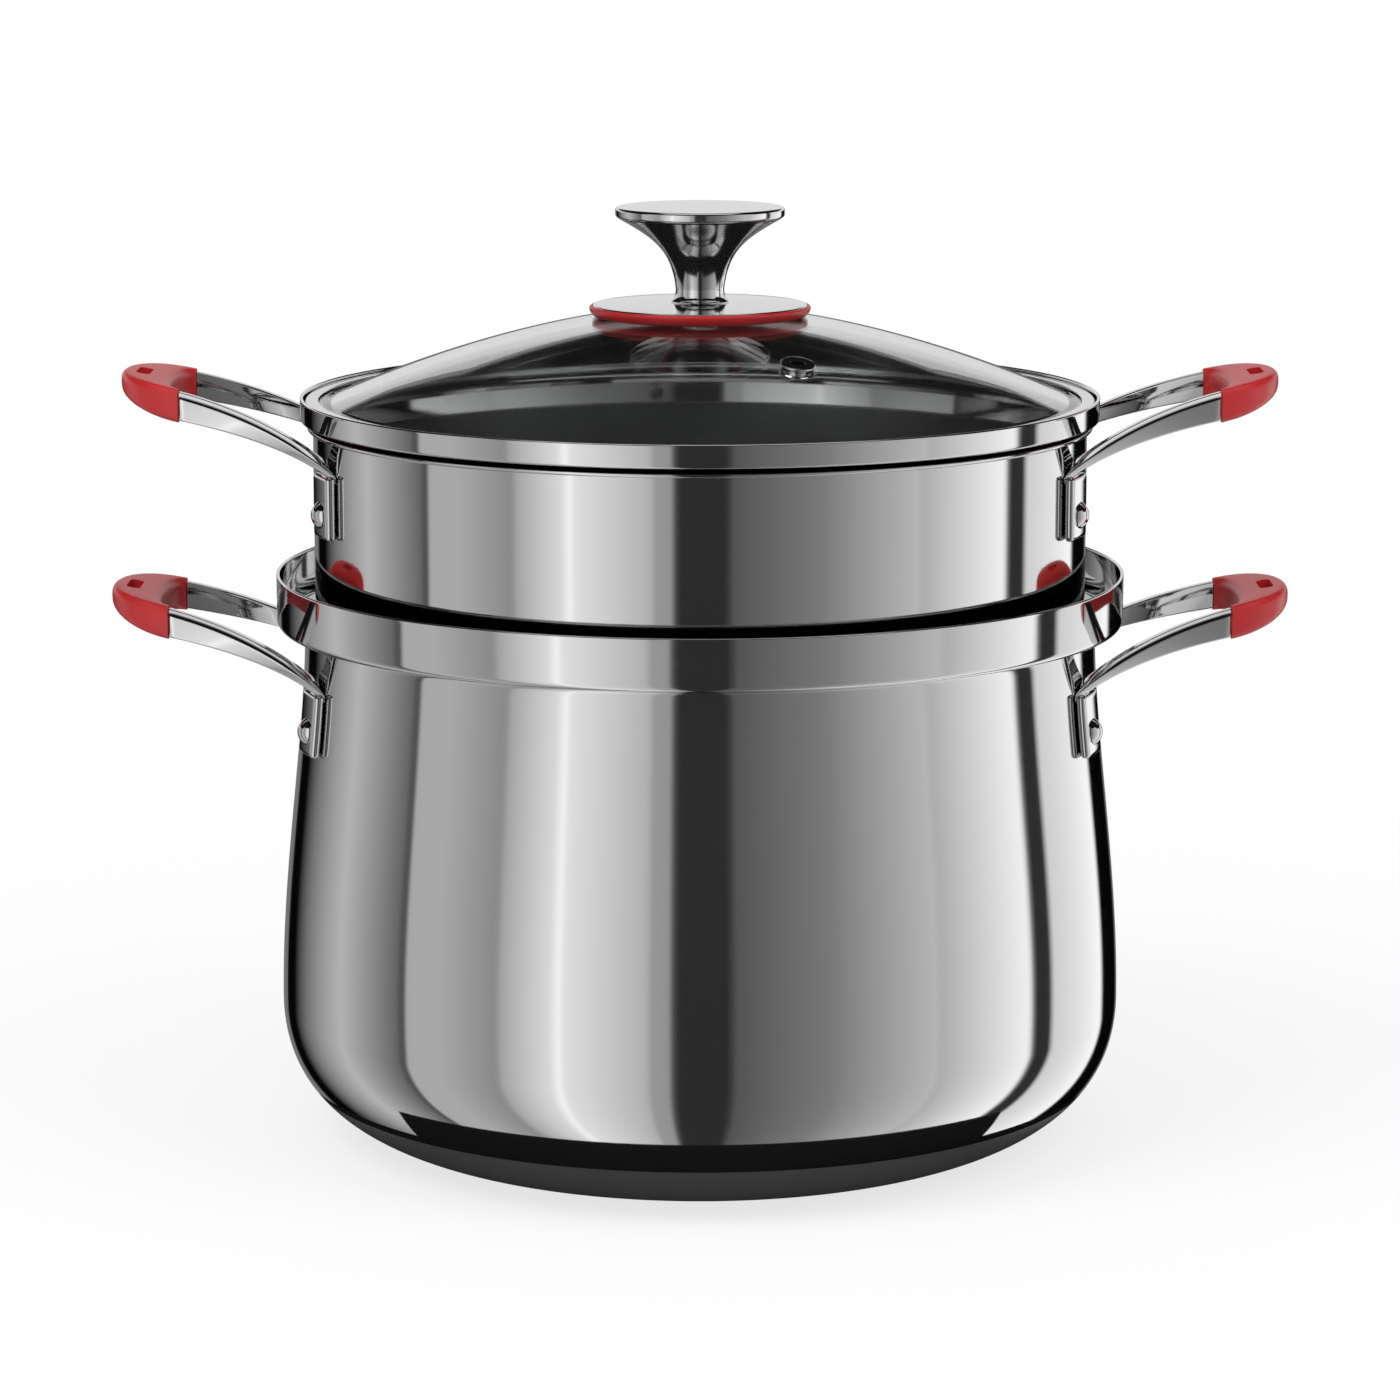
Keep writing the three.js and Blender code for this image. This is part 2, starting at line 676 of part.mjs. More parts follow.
// Where a rivet's axis crosses the outside of the wall, and which way it points
function rivetPlace(vessel, side) {
  const z = vessel.footZ - RIVET_DROP;
  const radius = vessel.radiusAt(z);
  const lean = Math.atan((vessel.radiusAt(z - 1) - vessel.radiusAt(z + 1)) / 2);
  return new THREE.Matrix4()
    .makeRotationZ(Math.asin(RIVET_SPACING / radius) * side)
    .multiply(new THREE.Matrix4().makeTranslation(radius, 0, z))
    .multiply(new THREE.Matrix4().makeRotationY(Math.PI / 2 - lean));
}

function rivetHole(vessel, side) {
  const reach = 3 * RIVET_HEAD_RADIUS;
  const hole = rod(RIVET_SHANK_RADIUS + CLEARANCE, -reach, reach, RIVET_SEGMENTS);
  return toSolid(hole.applyMatrix4(rivetPlace(vessel, side)));
}

function rivetGeometry(vessel, side) {
  const headZ = CLEARANCE + TAB_THICKNESS + RIVET_SEAT;
  const innerZ = -vessel.wall - RIVET_SEAT;
  const profile = [
    point(0, innerZ - RIVET_INNER_HEIGHT),
    point(RIVET_HEAD_RADIUS - RIVET_CHAMFER, innerZ - RIVET_INNER_HEIGHT),
    point(RIVET_HEAD_RADIUS, innerZ),
    point(RIVET_SHANK_RADIUS, innerZ),
    point(RIVET_SHANK_RADIUS, headZ),
    point(RIVET_HEAD_RADIUS, headZ),
    point(RIVET_HEAD_RADIUS - RIVET_CHAMFER, headZ + RIVET_HEAD_HEIGHT - RIVET_CROWN),
    point(0, headZ + RIVET_HEAD_HEIGHT),
  ];
  return turned(profile, RIVET_SEGMENTS).applyMatrix4(rivetPlace(vessel, side));
}

function handleGeometry(vessel) {
  const rootX = handleRootX(vessel);
  const half = railOutline();
  const front = half.map((here) => point(here.x, -here.y));
  const rails = toSolid(raised(half, -tipHigh, tipHigh)).add(toSolid(raised(front, -tipHigh, tipHigh)));
  const loop = rails.intersect(sideBand(0, -WALL_OVERRUN)).add(tang(0)).translate([rootX, 0, vessel.footZ]);
  const [low, high] = [vessel.footZ - LOOP_REACH, vessel.footZ + TAB_DEPTH / 2];
  const wall = wallRing(vessel, -FOOT_HALF_WIDTH, CLEARANCE, low, high);
  let handle = loop.subtract(wall);
  for (const side of [-1, 1]) {
    handle = handle.add(footTab(vessel, side));
  }
  for (const side of [-1, 1]) {
    handle = handle.subtract(rivetHole(vessel, side));
  }
  return toGeometry(handle);
}

// A vessel's wall is drilled for the two rivets of each of its handles
function drilled(solid, vessel) {
  let result = solid;
  for (const side of [-1, 1]) {
    const hole = rivetHole(vessel, side);
    result = result.subtract(hole).subtract(hole.rotate([0, 0, 180]));
  }
  return result;
}

function steamHoles() {
  const holes = [];
  for (let ring = 0; ring <= STEAM_HOLE_RINGS; ring += 1) {
    const count = Math.max(1, 6 * ring);
    for (let i = 0; i < count; i += 1) {
      const angle = 2 * Math.PI * i / count;
      const hole = rod(STEAM_HOLE_RADIUS, -STEAMER_WALL, 2 * STEAMER_WALL, STEAM_HOLE_SIDES);
      const x = ring * STEAM_HOLE_PITCH * Math.cos(angle);
      const y = ring * STEAM_HOLE_PITCH * Math.sin(angle);
      holes.push(toSolid(hole.translate(x, y, steamerFloorZ)));
    }
  }
  return holes;
}

function potShell() {
  return toGeometry(drilled(toSolid(turned(potShellProfile(), ROUND_SEGMENTS)), pot));
}

function steamerShell() {
  let shell = drilled(toSolid(turned(steamerProfile(), ROUND_SEGMENTS)), steamer);
  for (const hole of steamHoles()) {
    shell = shell.subtract(hole);
  }
  return toGeometry(shell);
}

const polishedSteel = { color: 0xc9cacb, roughness: 0.08, metalness: 1 };
const satinSteel = { color: 0x4a494a, roughness: 0.4, metalness: 1 };
const aluminium = { color: 0xb8bbbd, roughness: 0.45, metalness: 1 };
const redSilicone = { color: 0xb22a2c, roughness: 0.4, metalness: 0 };
const clearGlass = { color: 0xe6eeec, roughness: 0.03, metalness: 0, transparent: true, opacity: 0.3 };

function piece(name, geometry, finish) {
  const mesh = new THREE.Mesh(geometry, new THREE.MeshStandardMaterial(finish));
  mesh.name = name;
  return mesh;
}

// Both handles of a vessel, each with its grip and rivets, the left one turned half round
function handles(name, vessel) {
  const both = new THREE.Group();
  for (const [side, turn] of [['right', 0], ['left', Math.PI]]) {
    const set = new THREE.Group();
    set.rotation.z = turn;
    set.add(piece(`${name}_handle_${side}`, handleGeometry(vessel), polishedSteel));
    set.add(piece(`${name}_grip_${side}`, gripGeometry(vessel), redSilicone));
    const front = turn === 0 ? -1 : 1;
    set.add(piece(`${name}_rivet_${side}_front`, rivetGeometry(vessel, front), polishedSteel));
    set.add(piece(`${name}_rivet_${side}_back`, rivetGeometry(vessel, -front), polishedSteel));
    both.add(set);
  }
  return both;
}

const stockpot = new THREE.Group();
stockpot.add(
  piece('pot_shell', potShell(), polishedSteel),
  piece('base_core', turned(baseCoreProfile(), ROUND_SEGMENTS), aluminium),
  piece('base_cap', turned(baseCapProfile(), ROUND_SEGMENTS), satinSteel),
  handles('pot', pot),
  piece('steamer_shell', steamerShell(), polishedSteel),
  handles('steamer', steamer),
  piece('lid_glass', lidGlass(), clearGlass),
  piece('lid_band', turned(lidBandProfile(), ROUND_SEGMENTS), polishedSteel),
  piece('vent_eyelet', turned(ventProfile(), RIVET_SEGMENTS).applyMatrix4(ventPlace), polishedSteel),
  piece('knob_washer', turned(washerProfile(), SMALL_SEGMENTS), redSilicone),
  piece('knob_screw', turned(screwProfile(), SMALL_SEGMENTS), polishedSteel),
  piece('knob_seal_ring', turned(sealRingProfile(), SMALL_SEGMENTS), redSilicone),
  piece('knob_flange', turned(flangeProfile(), SMALL_SEGMENTS), polishedSteel),
  piece('knob_body', turned(knobBodyProfile(), SMALL_SEGMENTS), polishedSteel),
  piece('knob_cap', turned(knobCapProfile(), SMALL_SEGMENTS), polishedSteel),
);

export default stockpot;
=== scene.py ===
import math

import bmesh
import bpy
from mathutils import Matrix, Vector


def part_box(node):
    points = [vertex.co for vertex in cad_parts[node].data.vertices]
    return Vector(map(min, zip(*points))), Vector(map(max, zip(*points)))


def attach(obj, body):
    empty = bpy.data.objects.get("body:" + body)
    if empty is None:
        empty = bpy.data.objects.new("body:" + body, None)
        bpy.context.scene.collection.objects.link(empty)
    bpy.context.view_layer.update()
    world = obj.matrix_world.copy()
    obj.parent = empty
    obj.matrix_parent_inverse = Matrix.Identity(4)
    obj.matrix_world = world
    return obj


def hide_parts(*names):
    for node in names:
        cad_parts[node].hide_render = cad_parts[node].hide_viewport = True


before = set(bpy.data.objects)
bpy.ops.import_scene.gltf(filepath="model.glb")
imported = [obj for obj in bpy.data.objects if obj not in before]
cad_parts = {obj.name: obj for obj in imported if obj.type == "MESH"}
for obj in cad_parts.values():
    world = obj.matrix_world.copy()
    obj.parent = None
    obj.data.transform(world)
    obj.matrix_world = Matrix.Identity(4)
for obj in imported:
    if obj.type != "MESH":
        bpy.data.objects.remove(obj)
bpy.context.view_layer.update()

# Base cap: the dished steel disc that closes the underside and shows as a dark crescent low down.
# Pressed from sheet, brazed over the aluminium core, and left satin where the pot is polished; its dark
# grey, only partly metallic colour is painted shade for the dark floor it reflects.

mm = 0.001
CORNER_CURVE = [(89, 0), (101, 3), (122.8, 12), (122.8, 40)]
CAP_EDGE_HEIGHT = 15.7
CAP_WALL = 0.8
HALVINGS = 40
LONG_RUN = 3.0
RUN_END = 0.4
WELD = 0.005
GRAIN_DEPTH = 0.02


def bezier(controls, start=0.0, end=1.0, steps=24):
    """Points of radius and height along a Bezier curve, between two of its parameters."""
    points = []
    for step in range(steps + 1):
        t = start + (end - start) * step / steps
        row = list(controls)
        while len(row) > 1:
            row = [((1 - t) * a[0] + t * b[0], (1 - t) * a[1] + t * b[1]) for a, b in zip(row, row[1:])]
        points.append(row[0])
    return points


def parameter_at(controls, height):
    """The parameter at which a rising curve reaches a height."""
    low = 0.0
    high = 1.0
    for _ in range(HALVINGS):
        middle = (low + high) / 2
        if bezier(controls, middle, middle, 1)[0][1] < height:
            low = middle
        else:
            high = middle
    return low


def arc(centre, radius, start, end, steps=8):
    """Points along an arc, its angles in degrees, 0 outwards and 90 upwards."""
    points = []
    for step in range(steps + 1):
        angle = math.radians(start + (end - start) * step / steps)
        points.append((centre[0] + radius * math.cos(angle), centre[1] + radius * math.sin(angle)))
    return points


def beside(points, distance):
    """A polyline moved to its left, for the other face of a sheet."""
    moved = []
    for i, here in enumerate(points):
        before = points[max(i - 1, 0)]
        after = points[min(i + 1, len(points) - 1)]
        along = Vector((after[0] - before[0], after[1] - before[1])).normalized()
        moved.append((here[0] - along.y * distance, here[1] + along.x * distance))
    return moved


def only(piece):
    """Makes one piece the only selected and active object."""
    bpy.ops.object.select_all(action="DESELECT")
    piece.select_set(True)
    bpy.context.view_layer.objects.active = piece


def held(profile):
    """A profile with a point close to each end of its long straight runs, so that they shade flat."""
    points = [Vector(profile[0])]
    for there in profile[1:]:
        run = Vector(there) - points[-1]
        if run.length > LONG_RUN:
            end = run.normalized() * RUN_END
            points.extend([points[-1] + end, Vector(there) - end])
        points.append(Vector(there))
    return points


def turned(name, profile, segments=192):
    """A profile of radius and height, drawn edge by edge from one vertex and spun round the axis."""
    profile = held(profile)
    bpy.ops.object.select_all(action="DESELECT")
    bpy.ops.mesh.primitive_plane_add(size=mm, enter_editmode=True)
    bpy.ops.mesh.merge(type="CENTER")
    here = profile[0]
    bpy.ops.transform.translate(value=(here[0] * mm, 0, here[1] * mm))
    for there in profile[1:]:
        step = ((there[0] - here[0]) * mm, 0, (there[1] - here[1]) * mm)
        bpy.ops.mesh.extrude_vertices_move(TRANSFORM_OT_translate={"value": step})
        here = there
    bpy.ops.mesh.select_all(action="SELECT")
    bpy.ops.mesh.spin(steps=segments, angle=2 * math.pi, center=(0, 0, 0), axis=(0, 0, 1))
    bpy.ops.mesh.select_all(action="SELECT")
    bpy.ops.mesh.remove_doubles(threshold=WELD * mm)
    bpy.ops.mesh.normals_make_consistent(inside=False)
    bpy.ops.object.mode_set(mode="OBJECT")
    piece = bpy.context.object
    piece.name = name
    piece.data.name = name
    return piece


def smoothed(piece, degrees=30):
    """Smooth shading, with the edges sharper than an angle left crisp."""
    only(piece)
    bpy.ops.object.shade_smooth_by_angle(angle=math.radians(degrees))


def fitted(piece, body, node):
    """The piece stands for its CAD node, which it hides, and moves with its body."""
    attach(piece, body)
    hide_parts(node)


def linear(*levels):
    """8-bit display levels as a shader colour, by the standard display curve."""
    channels = []
    for level in levels:
        share = level / 255
        channels.append(share / 12.92 if share <= 0.04045 else ((share + 0.055) / 1.055) ** 2.4)
    return (*channels, 1.0)


def blank_material(name):
    """A new material with its nodes, its links and its main shader."""
    material = bpy.data.materials.new(name)
    material.use_nodes = True
    tree = material.node_tree
    return material, tree.nodes, tree.links, tree.nodes["Principled BSDF"]


def turned_grain(nodes, links, scale):
    """Noise drawn out round the axis, like the marks that polishing on a lathe leaves."""
    place = nodes.new("ShaderNodeTexCoord")
    flat = nodes.new("ShaderNodeVectorMath")
    flat.operation = "MULTIPLY"
    flat.inputs[1].default_value = (1, 1, 0)
    links.new(place.outputs["Object"], flat.inputs[0])
    reach = nodes.new("ShaderNodeVectorMath")
    reach.operation = "LENGTH"
    links.new(flat.outputs["Vector"], reach.inputs[0])
    parts = nodes.new("ShaderNodeSeparateXYZ")
    links.new(place.outputs["Object"], parts.inputs["Vector"])
    ring = nodes.new("ShaderNodeCombineXYZ")
    links.new(reach.outputs["Value"], ring.inputs["X"])
    links.new(parts.outputs["Z"], ring.inputs["Y"])
    grain = nodes.new("ShaderNodeTexNoise")
    grain.inputs["Scale"].default_value = scale
    grain.inputs["Detail"].default_value = 3
    links.new(ring.outputs["Vector"], grain.inputs["Vector"])
    return grain.outputs["Fac"]


def ranged(nodes, links, value, low, high):
    """A 0 to 1 value spread over another range."""
    spread = nodes.new("ShaderNodeMapRange")
    spread.inputs["To Min"].default_value = low
    spread.inputs["To Max"].default_value = high
    links.new(value, spread.inputs["Value"])
    return spread.outputs["Result"]


def bumped(nodes, links, shader, height, distance, strength):
    """Fine relief from a pattern, its depth in metres."""
    bump = nodes.new("ShaderNodeBump")
    bump.inputs["Strength"].default_value = strength
    bump.inputs["Distance"].default_value = distance
    links.new(height, bump.inputs["Height"])
    links.new(bump.outputs["Normal"], shader.inputs["Normal"])


def lathe_steel(name, colour, roughness, grain_scale, relief, metallic=1.0):
    """Stainless steel finished on a lathe: a metal whose roughness and relief follow the grain."""
    material, nodes, links, shader = blank_material(name)
    shader.inputs["Base Color"].default_value = colour
    shader.inputs["Metallic"].default_value = metallic
    grain = turned_grain(nodes, links, grain_scale)
    links.new(ranged(nodes, links, grain, *roughness), shader.inputs["Roughness"])
    bumped(nodes, links, shader, grain, GRAIN_DEPTH * mm, relief)
    return material


cap_edge = parameter_at(CORNER_CURVE, CAP_EDGE_HEIGHT)
cap_outside = bezier(CORNER_CURVE, 0, cap_edge, 24)
cap_inside = [here for here in beside(cap_outside, CAP_WALL) if here[1] > CAP_WALL]
cap_foot = CORNER_CURVE[0][0]
cap_profile = [(0, 0), *cap_outside, *reversed(cap_inside), (cap_foot, CAP_WALL), (0, CAP_WALL)]
base_disc = turned("base_disc", cap_profile)
smoothed(base_disc)
# Painted shade: the steel is coloured dark grey and made only partly metallic, standing in for the dark
# floor under the pot that the cap reflects.
base_steel_painted_dark = lathe_steel(
    "base_steel_painted_dark",
    linear(84, 82, 83),
    roughness=(0.42, 0.56),
    grain_scale=1600,
    relief=0.25,
    metallic=0.45,
)
base_disc.data.materials.append(base_steel_painted_dark)
fitted(base_disc, "pot", "base_cap")

# Base core: the aluminium disc that spreads the heat, shut in between the cap and the pot's floor.
# Blanked from plate and brazed in place, so it stays as modelled and only takes its own metal.

core_metal = lathe_steel(
    "base_core_aluminium", linear(190, 193, 195), roughness=(0.35, 0.55), grain_scale=900, relief=0.3
)
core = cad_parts["base_core"]
core.data.materials.clear()
core.data.materials.append(core_metal)

# Pot: the deep drawn shell, full at the belly and drawn in to a neck below its stepped collar.
# One sheet of stainless steel, spun, mirror polished outside and left satin inside, where its colour is
# also darker, as painted shade.

NECK_CURVE = [(122.8, 40), (122.8, 78), (115, 120.2), (115, 148.2)]
POT_INSIDE_CORNER = [(121.8, 40), (121.6, 15), (105, 7.4), (84, 7.4)]
POT_WALL = 1.0
POT_FLOOR = 6.4
SHOULDER_HEIGHT = 150.2
COLLAR_RADIUS = 123.0
COLLAR_FILLET = 2.0
CLEARANCE = 0.3
CAP_SEAM = 0.1
FLOOR_LEAD = 0.5
SATIN_FLOOR_TOP = 12.0
LEVEL_FACE = 0.5
INWARD_FACE = -0.2

pot_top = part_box("pot_shell")[1].z / mm
neck_radius, neck_top = NECK_CURVE[-1]
above_cap = parameter_at(CORNER_CURVE, CAP_EDGE_HEIGHT + CAP_SEAM)
behind_cap = beside(cap_outside, CAP_WALL + CLEARANCE)
behind_cap = [here for here in behind_cap if here[1] > POT_FLOOR]
inner_bend = COLLAR_FILLET + POT_WALL
lip = POT_WALL / 2
fillet_radius = neck_radius + COLLAR_FILLET
corner_radius = COLLAR_RADIUS - COLLAR_FILLET
corner_height = SHOULDER_HEIGHT + COLLAR_FILLET
neck_side = bezier(NECK_CURVE, 0, 1, steps=56)
pot_profile = [
    (0, POT_FLOOR),
    (behind_cap[0][0] - FLOOR_LEAD, POT_FLOOR),
    *behind_cap,
    *bezier(CORNER_CURVE, above_cap, 1, steps=28),
    *neck_side[1:],
    *arc((fillet_radius, neck_top), COLLAR_FILLET, 180, 90)[1:],
    *arc((corner_radius, corner_height), COLLAR_FILLET, -90, 0),
    *arc((COLLAR_RADIUS - lip, pot_top - lip), lip, 0, 180),
    *arc((corner_radius, corner_height), COLLAR_FILLET - POT_WALL, 0, -90),
    *arc((fillet_radius, neck_top), inner_bend, 90, 180),
    *reversed(beside(neck_side, POT_WALL)[1:-1]),
    *bezier(POT_INSIDE_CORNER, 0, 1, steps=28),
    (0, POT_INSIDE_CORNER[-1][1]),
]
polished_steel = lathe_steel(
    "polished_steel", linear(212, 212, 213), roughness=(0.03, 0.08), grain_scale=2200, relief=0.05
)
# Painted shade: the satin inside is the same steel in a darker grey, standing in for the shade within
# the pot and steamer.
satin_inside_painted_shade = lathe_steel(
    "satin_inside_steel", linear(168, 169, 170), roughness=(0.24, 0.38), grain_scale=1500, relief=0.3
)


def satin_within(piece, floor_height, top):
    """Gives the floor, and the faces that look at the axis below a height, the satin finish, coloured
    darker than outside as painted shade.
    """
    piece.data.materials.append(satin_inside_painted_shade)
    for face in piece.data.polygons:
        outwards = Vector((face.center.x, face.center.y, 0)).normalized()
        on_floor = abs(face.normal.z) > LEVEL_FACE and face.center.z < floor_height * mm
        on_wall = face.normal.dot(outwards) < INWARD_FACE and face.center.z < top * mm
        if on_floor or on_wall:
            face.material_index = 1


pot_body = turned("pot_body", pot_profile)
smoothed(pot_body)
pot_body.data.materials.append(polished_steel)
satin_within(pot_body, SATIN_FLOOR_TOP, neck_top)
fitted(pot_body, "pot", "pot_shell")

# Loop handles: two on the pot and two on the steamer, each an open loop on a pair of foot tabs.
# Cast in stainless steel and polished; the rails rise and draw together towards a slim hidden tang.

LOOP_REACH = 65.0
GRIP_START = 46.0
LOWER_RISE = [(0, 0), (19.2, 12.8), (LOOP_REACH, 18.6)]
UPPER_RISE = [(0, 2.6), (24.3, 21.6), (LOOP_REACH, 27.3)]
OUTER_SPLAY = [(0, 46), (17, 33.5), (GRIP_START, 28)]
INNER_SPLAY = [(0, 38), (17, 27.5), (GRIP_START, 23)]
FOOT_HALF_WIDTH = OUTER_SPLAY[0][1]
TANG_WIDTH = 2.8
TANG_SHRINK = 1.8
TANG_TIP = 55.0
TANG_START = GRIP_START + 2.0
TAB_SPAN = (33.0, 46.0)
TAB_DEPTH = 16.4
TAB_LAP = 2.0
TAB_THICKNESS = 2.8
TAB_EDGE = 1.3
POT_FOOT = 133.7
STEAMER_FOOT = 196.1
STEAMER_RADIUS = 111.85
RAIL_EDGE = 0.6
RAIL_CHAMFER = 1.7
CHAMFER_LIMIT = 0.4
ROUNDING_LIMIT = 0.45
LOOP_TURN = 0.65
LOOP_SHOULDER = 0.93
LOOP_NOSE = 0.58


def pot_radius(height):
    """The pot's outside radius at a height on its neck."""
    t = parameter_at(NECK_CURVE, height)
    return bezier(NECK_CURVE, t, t, 1)[0][0]


def steamer_radius(height):
    """The steamer's wall is straight, so its radius is the same at every height."""
    return STEAMER_RADIUS


def rise_at(controls, reach):
    """The height of a quadratic rise curve at a reach from the wall."""
    bend = controls[1][0]
    tip = controls[2][0]
    square = tip - 2 * bend
    t = (math.sqrt(bend * bend + square * max(reach, 0)) - bend) / square
    return bezier(controls, t, t, 1)[0][1]


def loop_end(from_reach, half_width, tip_reach):
    """Control points of a loop's rounded end, from its side to its tip on the middle plane."""
    turn = (tip_reach - from_reach) * LOOP_TURN
    return [
        (from_reach, half_width),
        (from_reach + turn, half_width * LOOP_SHOULDER),
        (tip_reach, half_width * LOOP_NOSE),
        (tip_reach, 0),
    ]


def both_sides(half):
    """A half row of plan points, carried on past the middle plane to the other side."""
    return half + [(reach, -side) for reach, side in reversed(half[:-1])]


def section(outer, inner, shrink):
    """A bar's four corners between its outer and inner plan points, thinned by a shrink."""
    corners = []
    for plan, curve, inset in (
        (outer, LOWER_RISE, shrink),
        (outer, UPPER_RISE, -shrink),
        (inner, UPPER_RISE, -shrink),
        (inner, LOWER_RISE, shrink),
    ):
        corners.append(Vector((plan[0], plan[1], rise_at(curve, plan[0]) + inset)))
    return corners


def rounded(corners, radius, steps=4):
    """A bar's section with its corners rounded, each by a short curve."""
    points = []
    for i, corner in enumerate(corners):
        before = corners[i - 1] - corner
        after = corners[(i + 1) % len(corners)] - corner
        start = corner + before * min(ROUNDING_LIMIT, radius / before.length)
        end = corner + after * min(ROUNDING_LIMIT, radius / after.length)
        for step in range(steps + 1):
            t = step / steps
            points.append((1 - t) ** 2 * start + 2 * t * (1 - t) * corner + t * t * end)
    return points


def swept(name, sections):
    """A bar extruded face by face through its sections, in millimetres."""
    count = len(sections[0])
    bpy.ops.object.select_all(action="DESELECT")
    bpy.ops.mesh.primitive_circle_add(vertices=count, radius=mm, fill_type="NGON", enter_editmode=True)
    piece = bpy.context.object
    cage = bmesh.from_edit_mesh(piece.data)
    cage.faces.ensure_lookup_table()
    ring = list(cage.faces[0].verts)
    for vertex, corner in zip(ring, sections[0]):
        vertex.co = corner * mm
    bmesh.update_edit_mesh(piece.data)
    for before, after in zip(sections, sections[1:]):
        bpy.ops.mesh.extrude_region_move()
        cage = bmesh.from_edit_mesh(piece.data)
        for vertex in [vertex for vertex in cage.verts if vertex.select]:
            nearest = min(range(count), key=lambda i: (before[i] * mm - vertex.co).length)
            vertex.co = after[nearest] * mm
        bmesh.update_edit_mesh(piece.data)
    bpy.ops.mesh.select_all(action="SELECT")
    bpy.ops.mesh.normals_make_consistent(inside=False)
    bpy.ops.object.mode_set(mode="OBJECT")
    piece.name = name
    piece.data.name = name
    return piece


def with_modifier(piece, kind, **settings):
    """Adds a modifier, sets it and applies it."""
    only(piece)
    modifier = piece.modifiers.new(kind, kind)
    for key, value in settings.items():
        setattr(modifier, key, value)
    bpy.ops.object.modifier_apply(modifier=modifier.name)


def foot_tab(name, radius_at, foot, side):
    """A plate that hugs the wall below one end of the loop, laid on the wall vertex by vertex."""
    bpy.ops.object.select_all(action="DESELECT")
    bpy.ops.mesh.primitive_grid_add(x_subdivisions=6, y_subdivisions=10, size=2)
    tab = bpy.context.object
    for vertex in tab.data.vertices:
        width = TAB_SPAN[0] + (TAB_SPAN[1] - TAB_SPAN[0]) * (vertex.co.x + 1) / 2
        height = foot - TAB_DEPTH + (TAB_DEPTH + TAB_LAP) * (vertex.co.y + 1) / 2
        wall = radius_at(height) + CLEARANCE
        reach = math.sqrt(wall * wall - width * width)
        vertex.co = Vector((reach, width * side, height)) * mm
    tab.name = name
    only(tab)
    bpy.ops.object.mode_set(mode="EDIT")
    bpy.ops.mesh.select_all(action="SELECT")
    bpy.ops.mesh.normals_make_consistent(inside=False)
    bpy.ops.object.mode_set(mode="OBJECT")
    outward = tab.data.polygons[0].normal.x > 0
    with_modifier(tab, "SOLIDIFY", thickness=TAB_THICKNESS * mm, offset=1.0 if outward else -1.0)
    with_modifier(tab, "BEVEL", width=TAB_EDGE * mm, segments=4, limit_method="ANGLE")
    return tab


def chamfered(corners):
    """A rail's section with its outer upper corner cut back, which is what shows above its face."""
    low, edge, inner, deep = corners
    down = (low - edge) * min(CHAMFER_LIMIT, RAIL_CHAMFER / (low - edge).length)
    across = (inner - edge) * min(CHAMFER_LIMIT, RAIL_CHAMFER / (inner - edge).length)
    return [low, edge + down, edge + across, inner, deep]


def loop_handle(name, radius_at, foot):
    """One handle on the +X side: the swept loop, cut to the wall, joined with its two foot tabs."""
    root = math.sqrt(radius_at(foot) ** 2 - FOOT_HALF_WIDTH ** 2)
    steps = 30
    outer = bezier(OUTER_SPLAY, 0, 1, steps)
    inner = bezier(INNER_SPLAY, 0, 1, steps)
    middle = (OUTER_SPLAY[-1][1] + INNER_SPLAY[-1][1]) / 2
    tang_outside = loop_end(TANG_START, middle + TANG_WIDTH / 2, TANG_TIP)
    tang_inside = loop_end(TANG_START, middle - TANG_WIDTH / 2, TANG_TIP - TANG_WIDTH)
    tang_outer = bezier(tang_outside, 0, 1, steps)
    tang_inner = bezier(tang_inside, 0, 1, steps)
    outer_row = both_sides(outer + tang_outer)
    inner_row = both_sides(inner + tang_inner)
    shrinks = [0] * len(outer) + [TANG_SHRINK] * len(tang_outer)
    shrinks = shrinks + list(reversed(shrinks[:-1]))
    sections = []
    for outside, inside, shrink in zip(outer_row, inner_row, shrinks):
        corners = section(outside, inside, shrink)
        for corner in corners:
            wall = radius_at(corner.z + foot) + CLEARANCE
            at_wall = math.sqrt(wall * wall - corner.y ** 2) - root
            corner.x = max(corner.x, at_wall)
            corner += Vector((root, 0, foot))
        sections.append(rounded(chamfered(corners), RAIL_EDGE))
    loop = swept(name, sections)
    tabs = [foot_tab(name + "_tab", radius_at, foot, side) for side in (1, -1)]
    only(loop)
    for tab in tabs:
        tab.select_set(True)
    bpy.ops.object.join()
    smoothed(loop, degrees=35)
    loop.data.materials.append(polished_steel)
    return loop


def half_turned(piece, name):
    """A copy on the opposite side of the vessel, with a mesh of its own."""
    only(piece)
    bpy.ops.object.duplicate()
    copy = bpy.context.object
    copy.name = name
    copy.data.name = name
    bpy.ops.object.mode_set(mode="EDIT")
    bpy.ops.mesh.select_all(action="SELECT")
    bpy.ops.transform.rotate(value=math.pi, orient_axis="Z", center_override=(0, 0, 0))
    bpy.ops.object.mode_set(mode="OBJECT")
    return copy


VESSELS = (("pot", pot_radius, POT_FOOT), ("steamer", steamer_radius, STEAMER_FOOT))

for vessel, radius_at, foot in VESSELS:
    right_loop = loop_handle(vessel + "_loop_right", radius_at, foot)
    left_loop = half_turned(right_loop, vessel + "_loop_left")
    fitted(right_loop, vessel, vessel + "_handle_right")
    fitted(left_loop, vessel, vessel + "_handle_left")

# Grips: the red sleeves on the loops' tips, with a short slot through the flat of each.
# Moulded in silicone over the tang, soft to the touch, with generous round edges.

